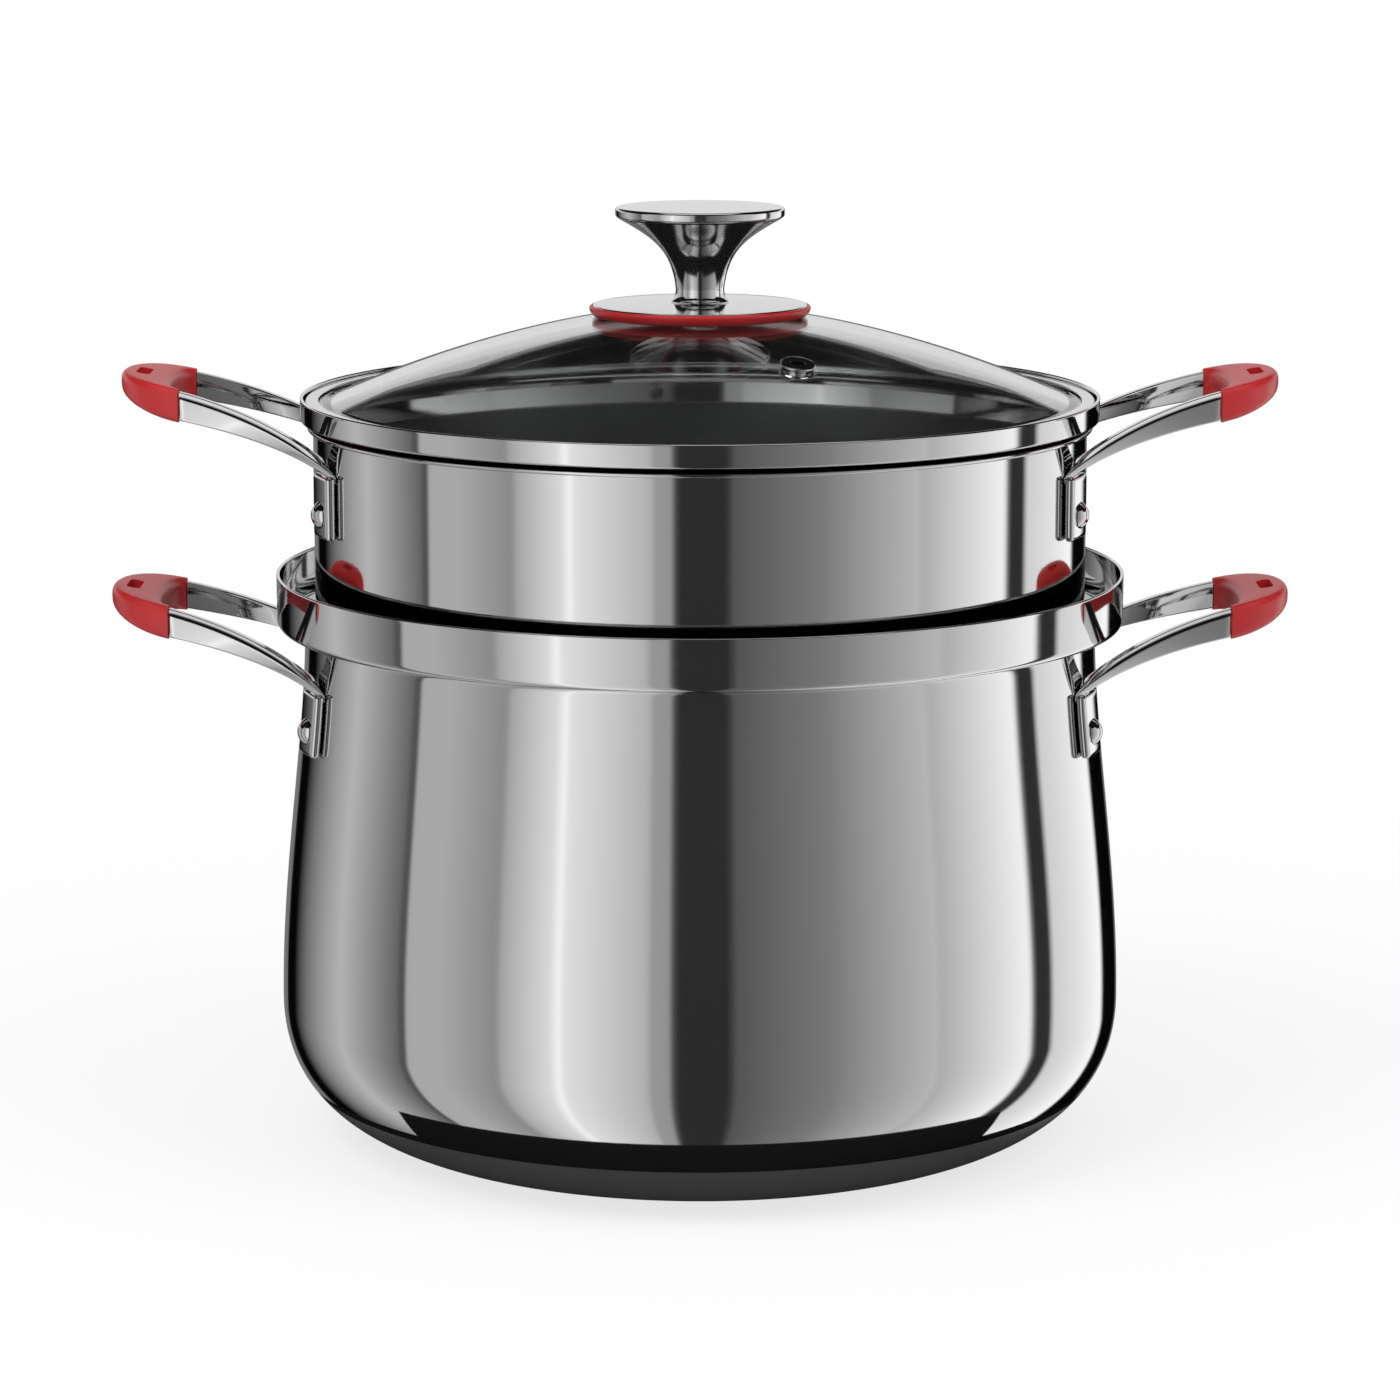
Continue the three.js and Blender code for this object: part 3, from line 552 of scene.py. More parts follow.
GRIP_SLEEVE = 0.7
GRIP_HALF_WIDTH = 28.0
GRIP_BAR_WIDTH = 15.0
RAIL_WIDTH = 5.0
SLOT_CENTRE = 58.6
SLOT_WIDTH = 4.0
SLOT_LENGTH = 14.0
SLOT_ROUND = 1.9
GRIP_EDGE = 2.8
GRIP_SWEEP = 3.6
CLOUD_SCALE = 60
CLOUD_SPAN = (0.3, 0.6)
SKIN_SCALE = 2600
SKIN_DEPTH = 0.02
SKIN_RELIEF = 0.2


def moulded_silicone(name, colour, shade, roughness):
    """Silicone rubber: a deep even red with a faint cloud in it and a fine moulded skin."""
    material, nodes, links, shader = blank_material(name)
    place = nodes.new("ShaderNodeTexCoord")
    cloud = nodes.new("ShaderNodeTexNoise")
    cloud.inputs["Scale"].default_value = CLOUD_SCALE
    links.new(place.outputs["Object"], cloud.inputs["Vector"])
    tint = nodes.new("ShaderNodeValToRGB")
    for stop, red, position in zip(tint.color_ramp.elements, (shade, colour), CLOUD_SPAN):
        stop.color = red
        stop.position = position
    links.new(cloud.outputs["Fac"], tint.inputs["Fac"])
    links.new(tint.outputs["Color"], shader.inputs["Base Color"])
    skin = nodes.new("ShaderNodeTexNoise")
    skin.inputs["Scale"].default_value = SKIN_SCALE
    links.new(place.outputs["Object"], skin.inputs["Vector"])
    links.new(ranged(nodes, links, skin.outputs["Fac"], *roughness), shader.inputs["Roughness"])
    bumped(nodes, links, shader, skin.outputs["Fac"], SKIN_DEPTH * mm, SKIN_RELIEF)
    return material


red_silicone = moulded_silicone("red_silicone", linear(176, 32, 35), linear(166, 28, 31), (0.28, 0.42))


def block(size, centre):
    """A plain block, its size and place in millimetres, for cutting a slot."""
    bpy.ops.object.select_all(action="DESELECT")
    bpy.ops.mesh.primitive_cube_add(size=1, enter_editmode=True)
    bpy.ops.transform.resize(value=[length * mm for length in size])
    bpy.ops.transform.translate(value=[length * mm for length in centre])
    bpy.ops.object.mode_set(mode="OBJECT")
    return bpy.context.object


def cut_by(piece, cutter):
    """Takes a cutter out of a piece, and takes the cutter away."""
    with_modifier(piece, "BOOLEAN", operation="DIFFERENCE", solver="EXACT", object=cutter)
    bpy.data.objects.remove(cutter)


def grip_sleeve(name, radius_at, foot):
    """One grip on the +X side, swept round the loop's tip and slotted."""
    root = math.sqrt(radius_at(foot) ** 2 - FOOT_HALF_WIDTH ** 2)
    start = GRIP_START + CLEARANCE
    inner_half = GRIP_HALF_WIDTH - RAIL_WIDTH - GRIP_SLEEVE
    outer = bezier(loop_end(start, GRIP_HALF_WIDTH + GRIP_SLEEVE, LOOP_REACH), 0, 1)
    inner = bezier(loop_end(start, inner_half, LOOP_REACH - GRIP_BAR_WIDTH), 0, 1)
    sections = []
    for outside, inside in zip(both_sides(outer), both_sides(inner)):
        corners = section(outside, inside, -GRIP_SLEEVE)
        for corner in (corners[0], corners[3]):
            corner.z += GRIP_SWEEP * (max(corner.x - start, 0) / (LOOP_REACH - start)) ** 2
        placed = [corner + Vector((root, 0, foot)) for corner in corners]
        sections.append(rounded(placed, GRIP_EDGE, steps=6))
    grip = swept(name, sections)
    slot_place = (root + SLOT_CENTRE, 0, foot + LOWER_RISE[-1][1])
    cutter = block((SLOT_WIDTH, SLOT_LENGTH, LOOP_REACH), slot_place)
    with_modifier(cutter, "BEVEL", width=SLOT_ROUND * mm, segments=6, limit_method="ANGLE")
    cut_by(grip, cutter)
    smoothed(grip, degrees=35)
    grip.data.materials.append(red_silicone)
    return grip


for vessel, radius_at, foot in VESSELS:
    right_sleeve = grip_sleeve(vessel + "_sleeve_right", radius_at, foot)
    left_sleeve = half_turned(right_sleeve, vessel + "_sleeve_left")
    fitted(right_sleeve, vessel, vessel + "_grip_right")
    fitted(left_sleeve, vessel, vessel + "_grip_left")

# Rivets: two through each handle's tabs and the wall behind them, domed outside and flat within.
# Solid stainless steel, set cold from the outside.

RIVET_SPACING = 39.5
RIVET_DROP = 9.5
RIVET_SHANK = 2.2
RIVET_HEAD = 3.8
RIVET_DOME = 2.2
RIVET_INNER = 1.4
RIVET_INNER_EDGE = 0.9
RIVET_PLAY = 0.1


def rivet(name, radius_at, foot, side):
    """One rivet on the +X side, turned upright and then laid square to the wall."""
    head = CLEARANCE + TAB_THICKNESS + RIVET_PLAY
    inner = -POT_WALL - RIVET_PLAY
    edge_centre = (RIVET_HEAD - RIVET_INNER_EDGE, inner - RIVET_INNER + RIVET_INNER_EDGE)
    dome_radius = (RIVET_HEAD ** 2 + RIVET_DOME ** 2) / (2 * RIVET_DOME)
    dome_start = math.degrees(math.asin((dome_radius - RIVET_DOME) / dome_radius))
    profile = [
        (0, inner - RIVET_INNER),
        *arc(edge_centre, RIVET_INNER_EDGE, -90, 0, 4),
        (RIVET_HEAD, inner),
        (RIVET_SHANK, inner),
        (RIVET_SHANK, head),
        *arc((0, head + RIVET_DOME - dome_radius), dome_radius, dome_start, 90, 10),
    ]
    piece = turned(name, profile, segments=32)
    height = foot - RIVET_DROP
    wall = radius_at(height)
    lean = math.atan((radius_at(height - 1) - radius_at(height + 1)) / 2)
    bearing = math.asin(RIVET_SPACING / wall) * side
    piece.matrix_world = (
        Matrix.Rotation(bearing, 4, "Z")
        @ Matrix.Translation((wall * mm, 0, height * mm))
        @ Matrix.Rotation(math.pi / 2 - lean, 4, "Y")
    )
    only(piece)
    bpy.ops.object.transform_apply(location=True, rotation=True, scale=True)
    smoothed(piece, degrees=35)
    piece.data.materials.append(polished_steel)
    return piece


for vessel, radius_at, foot in VESSELS:
    for place, side in (("front", -1), ("back", 1)):
        opposite = "back" if place == "front" else "front"
        right_rivet = rivet(f"{vessel}_set_rivet_right_{place}", radius_at, foot, side)
        left_rivet = half_turned(right_rivet, f"{vessel}_set_rivet_left_{opposite}")
        fitted(right_rivet, vessel, f"{vessel}_rivet_right_{place}")
        fitted(left_rivet, vessel, f"{vessel}_rivet_left_{opposite}")

# Steamer: the straight insert that hangs by its seat bead on the pot's shoulder, inside the collar.
# Spun from stainless sheet, polished outside, with a rolled rim and a floor punched for steam.

STEAMER_WALL = 1.0
STEAMER_FLOOR = 141.5
FLOOR_CORNER = 4.0
SEAT_HEIGHT = 151.5
SEAT_REACH = 6.0
SEAT_BEAD = 1.2
RIM_RADIUS = 115.5
RIM_STEP_HEIGHT = 209.4
RIM_BEND = 0.7
RIM_BEAD = 0.7
RIM_BEAD_REACH = 1.7
RIM_BEAD_LEAD = 0.2
RIM_STEP_EDGE = 0.4
SEAM_DEPTH = 0.6
SEAM_TOP = 209.8
SEAM_BOTTOM = 208.5
SEAM_LAND = 0.1
SEAM_MARGIN = 0.05
HEM_SPAN = (201.4, 208.1)
HEM_REACH = 0.8
HEM_EDGE = 0.4
STEAM_HOLE = 4.5
STEAM_PITCH = 24.0
STEAM_RINGS = 3
HOLES_PER_RING = 6
PUNCH_DEPTH = 6.0

steamer_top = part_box("steamer_shell")[1].z / mm
wall_out = STEAMER_RADIUS
wall_in = STEAMER_RADIUS - STEAMER_WALL
floor_round = (wall_out - FLOOR_CORNER, STEAMER_FLOOR + FLOOR_CORNER)
seat_round = (wall_out + SEAT_REACH - SEAT_BEAD, SEAT_HEIGHT + SEAT_BEAD)
bead_round = (wall_out + RIM_BEAD_REACH - RIM_BEAD, SEAM_BOTTOM - RIM_BEAD)
rim_round = (RIM_RADIUS - RIM_BEND, SEAM_TOP + RIM_BEND)
rim_lip = STEAMER_WALL / 2
step_height = RIM_STEP_HEIGHT + STEAMER_WALL
steamer_profile = [
    (0, STEAMER_FLOOR),
    *arc(floor_round, FLOOR_CORNER, -90, 0),
    (wall_out, SEAT_HEIGHT),
    *arc(seat_round, SEAT_BEAD, -90, 90, 12),
    (wall_out, SEAT_HEIGHT + 2 * SEAT_BEAD),
    (wall_out, SEAM_BOTTOM - 2 * RIM_BEAD - RIM_BEAD_LEAD),
    *arc(bead_round, RIM_BEAD, -90, 90, 12),
    (wall_out - SEAM_DEPTH, SEAM_TOP - SEAM_LAND),
    (wall_out - SEAM_DEPTH, SEAM_TOP),
    (RIM_RADIUS - RIM_BEND, SEAM_TOP),
    *arc(rim_round, RIM_BEND, -90, 0)[1:],
    *arc((RIM_RADIUS - rim_lip, steamer_top - rim_lip), rim_lip, 0, 180),
    (RIM_RADIUS - STEAMER_WALL, step_height + RIM_STEP_EDGE),
    (RIM_RADIUS - STEAMER_WALL - RIM_STEP_EDGE, step_height),
    (wall_in, step_height),
    (wall_in, HEM_SPAN[1]),
    (wall_in - HEM_REACH, HEM_SPAN[0]),
    *arc((wall_in - HEM_REACH + HEM_EDGE, HEM_SPAN[0]), HEM_EDGE, 180, 270, 4)[1:],
    (wall_in, HEM_SPAN[0] - HEM_EDGE),
    *arc(floor_round, FLOOR_CORNER - STEAMER_WALL, 0, -90),
    (0, STEAMER_FLOOR + STEAMER_WALL),
]
steamer_insert = turned("steamer_insert", steamer_profile)

bpy.ops.object.select_all(action="DESELECT")
punches = []
for ring in range(STEAM_RINGS + 1):
    count = max(1, HOLES_PER_RING * ring)
    for step in range(count):
        angle = 2 * math.pi * step / count
        across = (ring * STEAM_PITCH * math.cos(angle) * mm, ring * STEAM_PITCH * math.sin(angle) * mm)
        bpy.ops.mesh.primitive_cylinder_add(
            vertices=24,
            radius=STEAM_HOLE * mm,
            depth=PUNCH_DEPTH * mm,
            location=(*across, STEAMER_FLOOR * mm),
        )
        punches.append(bpy.context.object)
only(punches[0])
for punch in punches[1:]:
    punch.select_set(True)
bpy.ops.object.join()
cut_by(steamer_insert, bpy.context.object)
smoothed(steamer_insert)
steamer_insert.data.materials.clear()
steamer_insert.data.materials.append(polished_steel)
satin_within(steamer_insert, STEAMER_FLOOR + FLOOR_CORNER, HEM_SPAN[0])
# Painted shade: the faces of the seam under the rim get a near-black steel, standing in for the shadow
# in that narrow gap.
seam_painted_shade_steel = lathe_steel(
    "seam_painted_shade_steel", linear(30, 29, 30), roughness=(0.5, 0.6), grain_scale=1500, relief=0.3
)
steamer_insert.data.materials.append(seam_painted_shade_steel)
for face in steamer_insert.data.polygons:
    reach = math.hypot(face.center.x, face.center.y) / mm
    in_seam = SEAM_BOTTOM < face.center.z / mm < SEAM_TOP + SEAM_MARGIN
    if in_seam and wall_in < reach < RIM_RADIUS - RIM_BEND:
        face.material_index = 2
fitted(steamer_insert, "steamer", "steamer_shell")

# Lid glass: the clear dome that closes the steamer, pierced for the knob's screw and the vent.
# Pressed soda-lime glass, tempered, with the steel band crimped over its flange.

DOME_FOOT = 214.6
DOME_RISE = 27.1
DOME_RADIUS = 108.3
DOME_FULLNESS = 1.73
GLASS_RADIUS = 113.0
GLASS_THICKNESS = 3.0
GLASS_LEDGE = 1.0
GLASS_IOR = 1.5
GLASS_TINT = (0.962, 0.971, 0.966, 1.0)
HAZE_SCALE = 25
HAZE = (0.0, 0.03)
SCREW_HOLE = 2.8
VENT_DISTANCE = 64.0
VENT_BEARING = math.radians(-65)
VENT_BORE = 1.8
VENT_WALL = 1.2
VENT_LIP = 2.0
VENT_LIP_HEIGHT = 0.9
VENT_PLAY = 0.2
DRILL_DEPTH = 16.0


def dome_height(radius):
    """The height of the dome's outside at a radius."""
    return DOME_FOOT + DOME_RISE * (1 - (radius / DOME_RADIUS) ** DOME_FULLNESS)


def clear_glass(name, tint):
    """Clear glass, its polish broken only by the faint haze of handling."""
    material, nodes, links, shader = blank_material(name)
    shader.inputs["Base Color"].default_value = tint
    shader.inputs["Transmission Weight"].default_value = 1.0
    shader.inputs["IOR"].default_value = GLASS_IOR
    place = nodes.new("ShaderNodeTexCoord")
    haze = nodes.new("ShaderNodeTexNoise")
    haze.inputs["Scale"].default_value = HAZE_SCALE
    links.new(place.outputs["Object"], haze.inputs["Vector"])
    links.new(ranged(nodes, links, haze.outputs["Fac"], *HAZE), shader.inputs["Roughness"])
    return material


dome_steps = 64
outside = []
for step in range(dome_steps + 1):
    radius = SCREW_HOLE + (DOME_RADIUS - SCREW_HOLE) * step / dome_steps
    outside.append((radius, dome_height(radius)))
outside.extend([(DOME_RADIUS + GLASS_LEDGE, DOME_FOOT), (GLASS_RADIUS, DOME_FOOT)])
within = [(radius, height - GLASS_THICKNESS) for radius, height in reversed(outside)]
glass_dome = turned("glass_dome", [*outside, *within, outside[0]])

vent_slope = math.atan(
    DOME_RISE * DOME_FULLNESS * VENT_DISTANCE ** (DOME_FULLNESS - 1) / DOME_RADIUS ** DOME_FULLNESS
)
vent_place = (
    Matrix.Rotation(VENT_BEARING, 4, "Z")
    @ Matrix.Translation((VENT_DISTANCE * mm, 0, dome_height(VENT_DISTANCE) * mm))
    @ Matrix.Rotation(vent_slope, 4, "Y")
)
bpy.ops.object.select_all(action="DESELECT")
drill_radius = VENT_BORE + VENT_WALL + VENT_PLAY
bpy.ops.mesh.primitive_cylinder_add(vertices=32, radius=drill_radius * mm, depth=DRILL_DEPTH * mm)
drill = bpy.context.object
drill.matrix_world = vent_place
cut_by(glass_dome, drill)
smoothed(glass_dome)
glass_dome.data.materials.clear()
glass_dome.data.materials.append(clear_glass("clear_glass", GLASS_TINT))
fitted(glass_dome, "lid", "lid_glass")

# Lid band: the steel channel round the glass, which seats on the step inside the steamer's rim.
# Rolled from thin stainless strip and crimped on.

BAND_RADIUS = 114.0
BAND_BOTTOM = 210.7
BAND_TOP = 215.5
BAND_WALL = 0.7
BAND_LIP = 0.6
BAND_LIP_REACH = 3.5

band_inner = BAND_RADIUS - BAND_WALL
band_lip = BAND_RADIUS - BAND_LIP_REACH
band_bend = BAND_LIP
band_profile = [
    (band_lip, BAND_BOTTOM),
    *arc((BAND_RADIUS - band_bend, BAND_BOTTOM + band_bend), band_bend, -90, 0, 5),
    *arc((BAND_RADIUS - band_bend, BAND_TOP - band_bend), band_bend, 0, 90, 5),
    *arc((band_lip, BAND_TOP - BAND_LIP / 2), BAND_LIP / 2, 90, 270, 6),
    (band_inner, BAND_TOP - BAND_LIP),
    (band_inner, BAND_BOTTOM + BAND_LIP),
    (band_lip, BAND_BOTTOM + BAND_LIP),
    (band_lip, BAND_BOTTOM),
]
steel_band = turned("steel_band", band_profile)
smoothed(steel_band)
steel_band.data.materials.append(polished_steel)
fitted(steel_band, "lid", "lid_band")

# Steam vent: the small eyelet that lets steam out through the glass.
# Turned stainless steel, rolled over on both faces of the dome.

VENT_GAP = 0.1
VENT_UNDER_GAP = 0.5
VENT_MOUTH = 0.4

vent_outer = VENT_BORE + VENT_WALL
vent_lip = vent_outer + VENT_LIP
vent_seat = VENT_GAP + vent_lip ** 2 / (2 * DOME_RADIUS)
vent_under = vent_seat - GLASS_THICKNESS - VENT_UNDER_GAP
half_lip = VENT_LIP_HEIGHT / 2
vent_profile = [
    (VENT_BORE, vent_under - half_lip),
    *arc((vent_lip - half_lip, vent_under - half_lip), half_lip, -90, 90, 6),
    (vent_outer, vent_under),
    (vent_outer, vent_seat),
    *arc((vent_lip - half_lip, vent_seat + half_lip), half_lip, -90, 90, 6),
    (VENT_BORE + VENT_MOUTH, vent_seat + VENT_LIP_HEIGHT),
    (VENT_BORE, vent_seat + VENT_LIP_HEIGHT - VENT_MOUTH),
    (VENT_BORE, vent_under - half_lip),
]
steam_vent = turned("steam_vent", vent_profile, segments=48)
steam_vent.matrix_world = vent_place
only(steam_vent)
bpy.ops.object.transform_apply(location=True, rotation=True, scale=True)
smoothed(steam_vent)
steam_vent.data.materials.append(polished_steel)
fitted(steam_vent, "lid", "vent_eyelet")

# Knob seal: the red ring that the flange presses on the glass, drawn in towards its foot.
# Moulded silicone, clamped by the knob's screw.

FLANGE_RADIUS = 31.0
SEAL_OUTER = 32.0
SEAL_INNER = 25.6
SEAL_GAP = 0.1
SEAL_UNDERCUT = [(2.0, 0.0), (0.6, 0.4), (0.1, 1.6)]
SEAL_LIP = [(0.0, 0.9), (0.1, 0.7), (0.4, 0.4)]
SEAL_BEHIND_FLANGE = (0.05, 0.3)
FLANGE_BOTTOM = 242.0
FLANGE_THICKNESS = 0.9
FLANGE_DISH = 0.6

flange_top = FLANGE_BOTTOM + FLANGE_THICKNESS
flange_edge = flange_top - FLANGE_DISH
seal_top = FLANGE_BOTTOM - FLANGE_DISH - SEAL_GAP
seal_foot = dome_height(SEAL_OUTER - SEAL_UNDERCUT[0][0]) + SEAL_GAP
seal_start = (SEAL_INNER, dome_height(SEAL_INNER) + SEAL_GAP)
flange_seat = FLANGE_RADIUS + SEAL_BEHIND_FLANGE[0]
seal_side = [(SEAL_OUTER - inset, seal_foot + rise) for inset, rise in SEAL_UNDERCUT]
seal_lip = [(SEAL_OUTER - inset, flange_edge - drop) for inset, drop in SEAL_LIP]
seal_profile = [
    seal_start,
    *bezier([*seal_side, seal_lip[0]], 0, 1, steps=12),
    *seal_lip[1:],
    (flange_seat, flange_edge - SEAL_BEHIND_FLANGE[1]),
    (flange_seat, seal_top),
    (SEAL_INNER, seal_top),
    seal_start,
]
seal_ring = turned("seal_ring", seal_profile, segments=128)
smoothed(seal_ring, degrees=40)
seal_ring.data.materials.append(red_silicone)
fitted(seal_ring, "lid", "knob_seal_ring")

# Knob washer and screw: what holds the knob from below, seen through the glass.
# A silicone washer and a round-headed stainless screw with a driver slot in its head.

WASHER_RADIUS = 9.0
WASHER_THICKNESS = 1.5
WASHER_EDGE = 0.5
WASHER_GAP = 0.1
SCREW_RADIUS = 2.5
SCREW_HEAD = 5.5
SCREW_HEAD_HEIGHT = 3.0
SCREW_HEAD_FLAT = 0.4
SCREW_TIP = 0.5
DRIVER_SLOT = (1.4, 2.4)
KNOB_FOOT = 243.2
SCREW_GRIP = 13.0

washer_top = dome_height(WASHER_RADIUS) - GLASS_THICKNESS - WASHER_GAP
washer_bottom = washer_top - WASHER_THICKNESS
washer_profile = [
    (SCREW_HOLE, washer_bottom),
    *arc((WASHER_RADIUS - WASHER_EDGE, washer_bottom + WASHER_EDGE), WASHER_EDGE, -90, 0, 4),
    *arc((WASHER_RADIUS - WASHER_EDGE, washer_top - WASHER_EDGE), WASHER_EDGE, 0, 90, 4),
    (SCREW_HOLE, washer_top),
    (SCREW_HOLE, washer_bottom),
]
washer = turned("screw_washer", washer_profile, segments=64)
smoothed(washer, degrees=40)
washer.data.materials.append(red_silicone)
fitted(washer, "lid", "knob_washer")

head_top = washer_bottom - WASHER_GAP
head_bottom = head_top - SCREW_HEAD_HEIGHT
screw_top = KNOB_FOOT + SCREW_GRIP
head_round = [
    (SCREW_HEAD * SCREW_HEAD_FLAT, head_bottom),
    (SCREW_HEAD, head_bottom),
    (SCREW_HEAD, head_top - SCREW_HEAD_HEIGHT * SCREW_HEAD_FLAT),
]
screw_profile = [
    (0, head_bottom),
    *bezier(head_round, 0, 1, steps=8),
    (SCREW_HEAD, head_top),
    (SCREW_RADIUS, head_top),
    (SCREW_RADIUS, screw_top - SCREW_TIP),
    (SCREW_RADIUS - SCREW_TIP, screw_top),
    (0, screw_top),
]
screw = turned("knob_fixing_screw", screw_profile, segments=48)
cut_by(screw, block((3 * SCREW_HEAD, *DRIVER_SLOT), (0, 0, head_bottom)))
smoothed(screw, degrees=35)
screw.data.materials.clear()
screw.data.materials.append(polished_steel)
fitted(screw, "lid", "knob_screw")

# Knob flange: the thin disc between the knob and the seal, which spreads the screw's pull.
# Pressed from polished stainless sheet with a rounded edge.

DISH_STEPS = 12

flange_round = FLANGE_THICKNESS / 2
flange_rim = FLANGE_RADIUS - flange_round
dished = []
for step in range(DISH_STEPS + 1):
    radius = SCREW_HOLE + (flange_rim - SCREW_HOLE) * step / DISH_STEPS
    dished.append((radius, -FLANGE_DISH * (radius / flange_rim) ** 2))
flange_profile = [
    *[(radius, FLANGE_BOTTOM + drop) for radius, drop in dished],
    *arc((flange_rim, FLANGE_BOTTOM - FLANGE_DISH + flange_round), flange_round, -90, 90, 8),
    *[(radius, flange_top + drop) for radius, drop in reversed(dished)],
    (SCREW_HOLE, FLANGE_BOTTOM),
]
knob_steel = lathe_steel(
    "knob_steel", linear(216, 216, 217), roughness=(0.06, 0.13), grain_scale=2600, relief=0.06
)
flange_disc = turned("flange_disc", flange_profile, segments=128)
smoothed(flange_disc)
flange_disc.data.materials.append(knob_steel)
fitted(flange_disc, "lid", "knob_flange")

# Knob: the trumpet that the hand takes, flaring from a slim neck, and the disc that closes its top.
# Stainless steel, the trumpet spun and the disc pressed and welded on, polished together.

KNOB_FOOT_RADIUS = 8.4
KNOB_FOOT_EDGE = 0.6
KNOB_NECK = 7.0
KNOB_NECK_HEIGHT = 3.6
KNOB_HEIGHT = 23.8
KNOB_TOP_RADIUS = 23.4
KNOB_CAP_RADIUS = 24.4
KNOB_CAP_BOTTOM = 267.3
KNOB_CAP_EDGE = 0.9
KNOB_CAP_INSET = 0.6
FLARE_START = (1.3, 11.0)
FLARE_END = (10.3, 5.8)

cap_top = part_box("knob_cap")[1].z / mm
neck_height = KNOB_FOOT + KNOB_NECK_HEIGHT
trumpet_top = KNOB_FOOT + KNOB_HEIGHT
foot_fillet = [
    (KNOB_FOOT_RADIUS, KNOB_FOOT),
    (KNOB_NECK, KNOB_FOOT + KNOB_FOOT_EDGE),
    (KNOB_NECK, neck_height),
]
flare = [
    (KNOB_NECK, neck_height),
    (KNOB_NECK + FLARE_START[0], neck_height + FLARE_START[1]),
    (KNOB_TOP_RADIUS - FLARE_END[0], trumpet_top - FLARE_END[1]),
    (KNOB_TOP_RADIUS, trumpet_top),
]
trumpet_profile = [
    (SCREW_HOLE, KNOB_FOOT),
    *bezier(foot_fillet, 0, 1, steps=10),
    *bezier(flare, 0, 1, steps=40)[1:],
    (0, trumpet_top),
    (0, screw_top + CLEARANCE),
    (SCREW_HOLE, screw_top + CLEARANCE),
    (SCREW_HOLE, KNOB_FOOT),
]
knob_trumpet = turned("knob_trumpet", trumpet_profile, segments=128)
smoothed(knob_trumpet)
knob_trumpet.data.materials.append(knob_steel)
fitted(knob_trumpet, "lid", "knob_body")

cap_round = KNOB_CAP_RADIUS - KNOB_CAP_EDGE
knob_profile = [
    (0, KNOB_CAP_BOTTOM),
    (KNOB_TOP_RADIUS - KNOB_CAP_INSET, KNOB_CAP_BOTTOM),
    *arc((cap_round, KNOB_CAP_BOTTOM + KNOB_CAP_EDGE), KNOB_CAP_EDGE, -70, 0, 6),
    *arc((cap_round, cap_top - KNOB_CAP_EDGE), KNOB_CAP_EDGE, 0, 90, 8),
    (0, cap_top),
]
knob_top = turned("knob_top", knob_profile, segments=128)
smoothed(knob_top)
knob_top.data.materials.append(knob_steel)
fitted(knob_top, "lid", "knob_cap")

# Floor: a plain white sweep that the set stands on.
# The camera sees it white with the pot's soft shadow; the steel sees a painted shadow there, a
# near-black disc under the pot that reaches further at its front, and a dark card lies on it far
# behind, which shows through the lid's glass alone.

FLOOR_SIZE = 12.0
SHADED_RADIUS = 119.0
FRONT_SHADE = 18.0
FRONT_EDGE = -75.0
SHADOW_REACH = (150.0, 520.0)
CARD_PLACE = 4700.0
CARD_RADIUS = 3050.0
FLOOR_GREY = 0.9
NEAR_GLOW = 0.75
SHADED_GREY = 0.01


def plain(grey):
    """A neutral colour from one linear grey."""
    return (grey, grey, grey, 1.0)


def worked_out(nodes, links, operation, *values):
    """One maths node over its values, each a plain number or the socket of another node."""
    working = nodes.new("ShaderNodeMath")
    working.operation = operation
    for socket, value in zip(working.inputs, values):
        if isinstance(value, (int, float)):
            socket.default_value = value
        else:
            links.new(value, socket)
    return working.outputs["Value"]


def shared(nodes, links, share, first, second):
    """Two shaders mixed, with a share of the second."""
    blend = nodes.new("ShaderNodeMixShader")
    links.new(share, blend.inputs["Fac"])
    links.new(first, blend.inputs[1])
    links.new(second, blend.inputs[2])
    return blend.outputs["Shader"]


bpy.ops.object.select_all(action="DESELECT")
bpy.ops.mesh.primitive_circle_add(vertices=96, radius=FLOOR_SIZE / 2, fill_type="NGON")
floor = bpy.context.object
floor.name = "studio_floor"
sweep, nodes, links, shader = blank_material("white_sweep")
nodes.remove(shader)
place = nodes.new("ShaderNodeTexCoord")
path = nodes.new("ShaderNodeLightPath")
reach = nodes.new("ShaderNodeVectorMath")
reach.operation = "LENGTH"
links.new(place.outputs["Object"], reach.inputs[0])
matt = nodes.new("ShaderNodeBsdfDiffuse")
matt.inputs["Color"].default_value = plain(FLOOR_GREY)
glow = nodes.new("ShaderNodeEmission")
glow.inputs["Color"].default_value = plain(1.0)
fade = nodes.new("ShaderNodeMapRange")
fade.inputs["From Min"].default_value = SHADOW_REACH[0] * mm
fade.inputs["From Max"].default_value = SHADOW_REACH[1] * mm
fade.inputs["To Min"].default_value = NEAR_GLOW
fade.inputs["To Max"].default_value = 1.0
links.new(reach.outputs["Value"], fade.inputs["Value"])
seen = shared(nodes, links, fade.outputs["Result"], matt.outputs["BSDF"], glow.outputs["Emission"])
spot = nodes.new("ShaderNodeSeparateXYZ")
links.new(place.outputs["Object"], spot.inputs["Vector"])
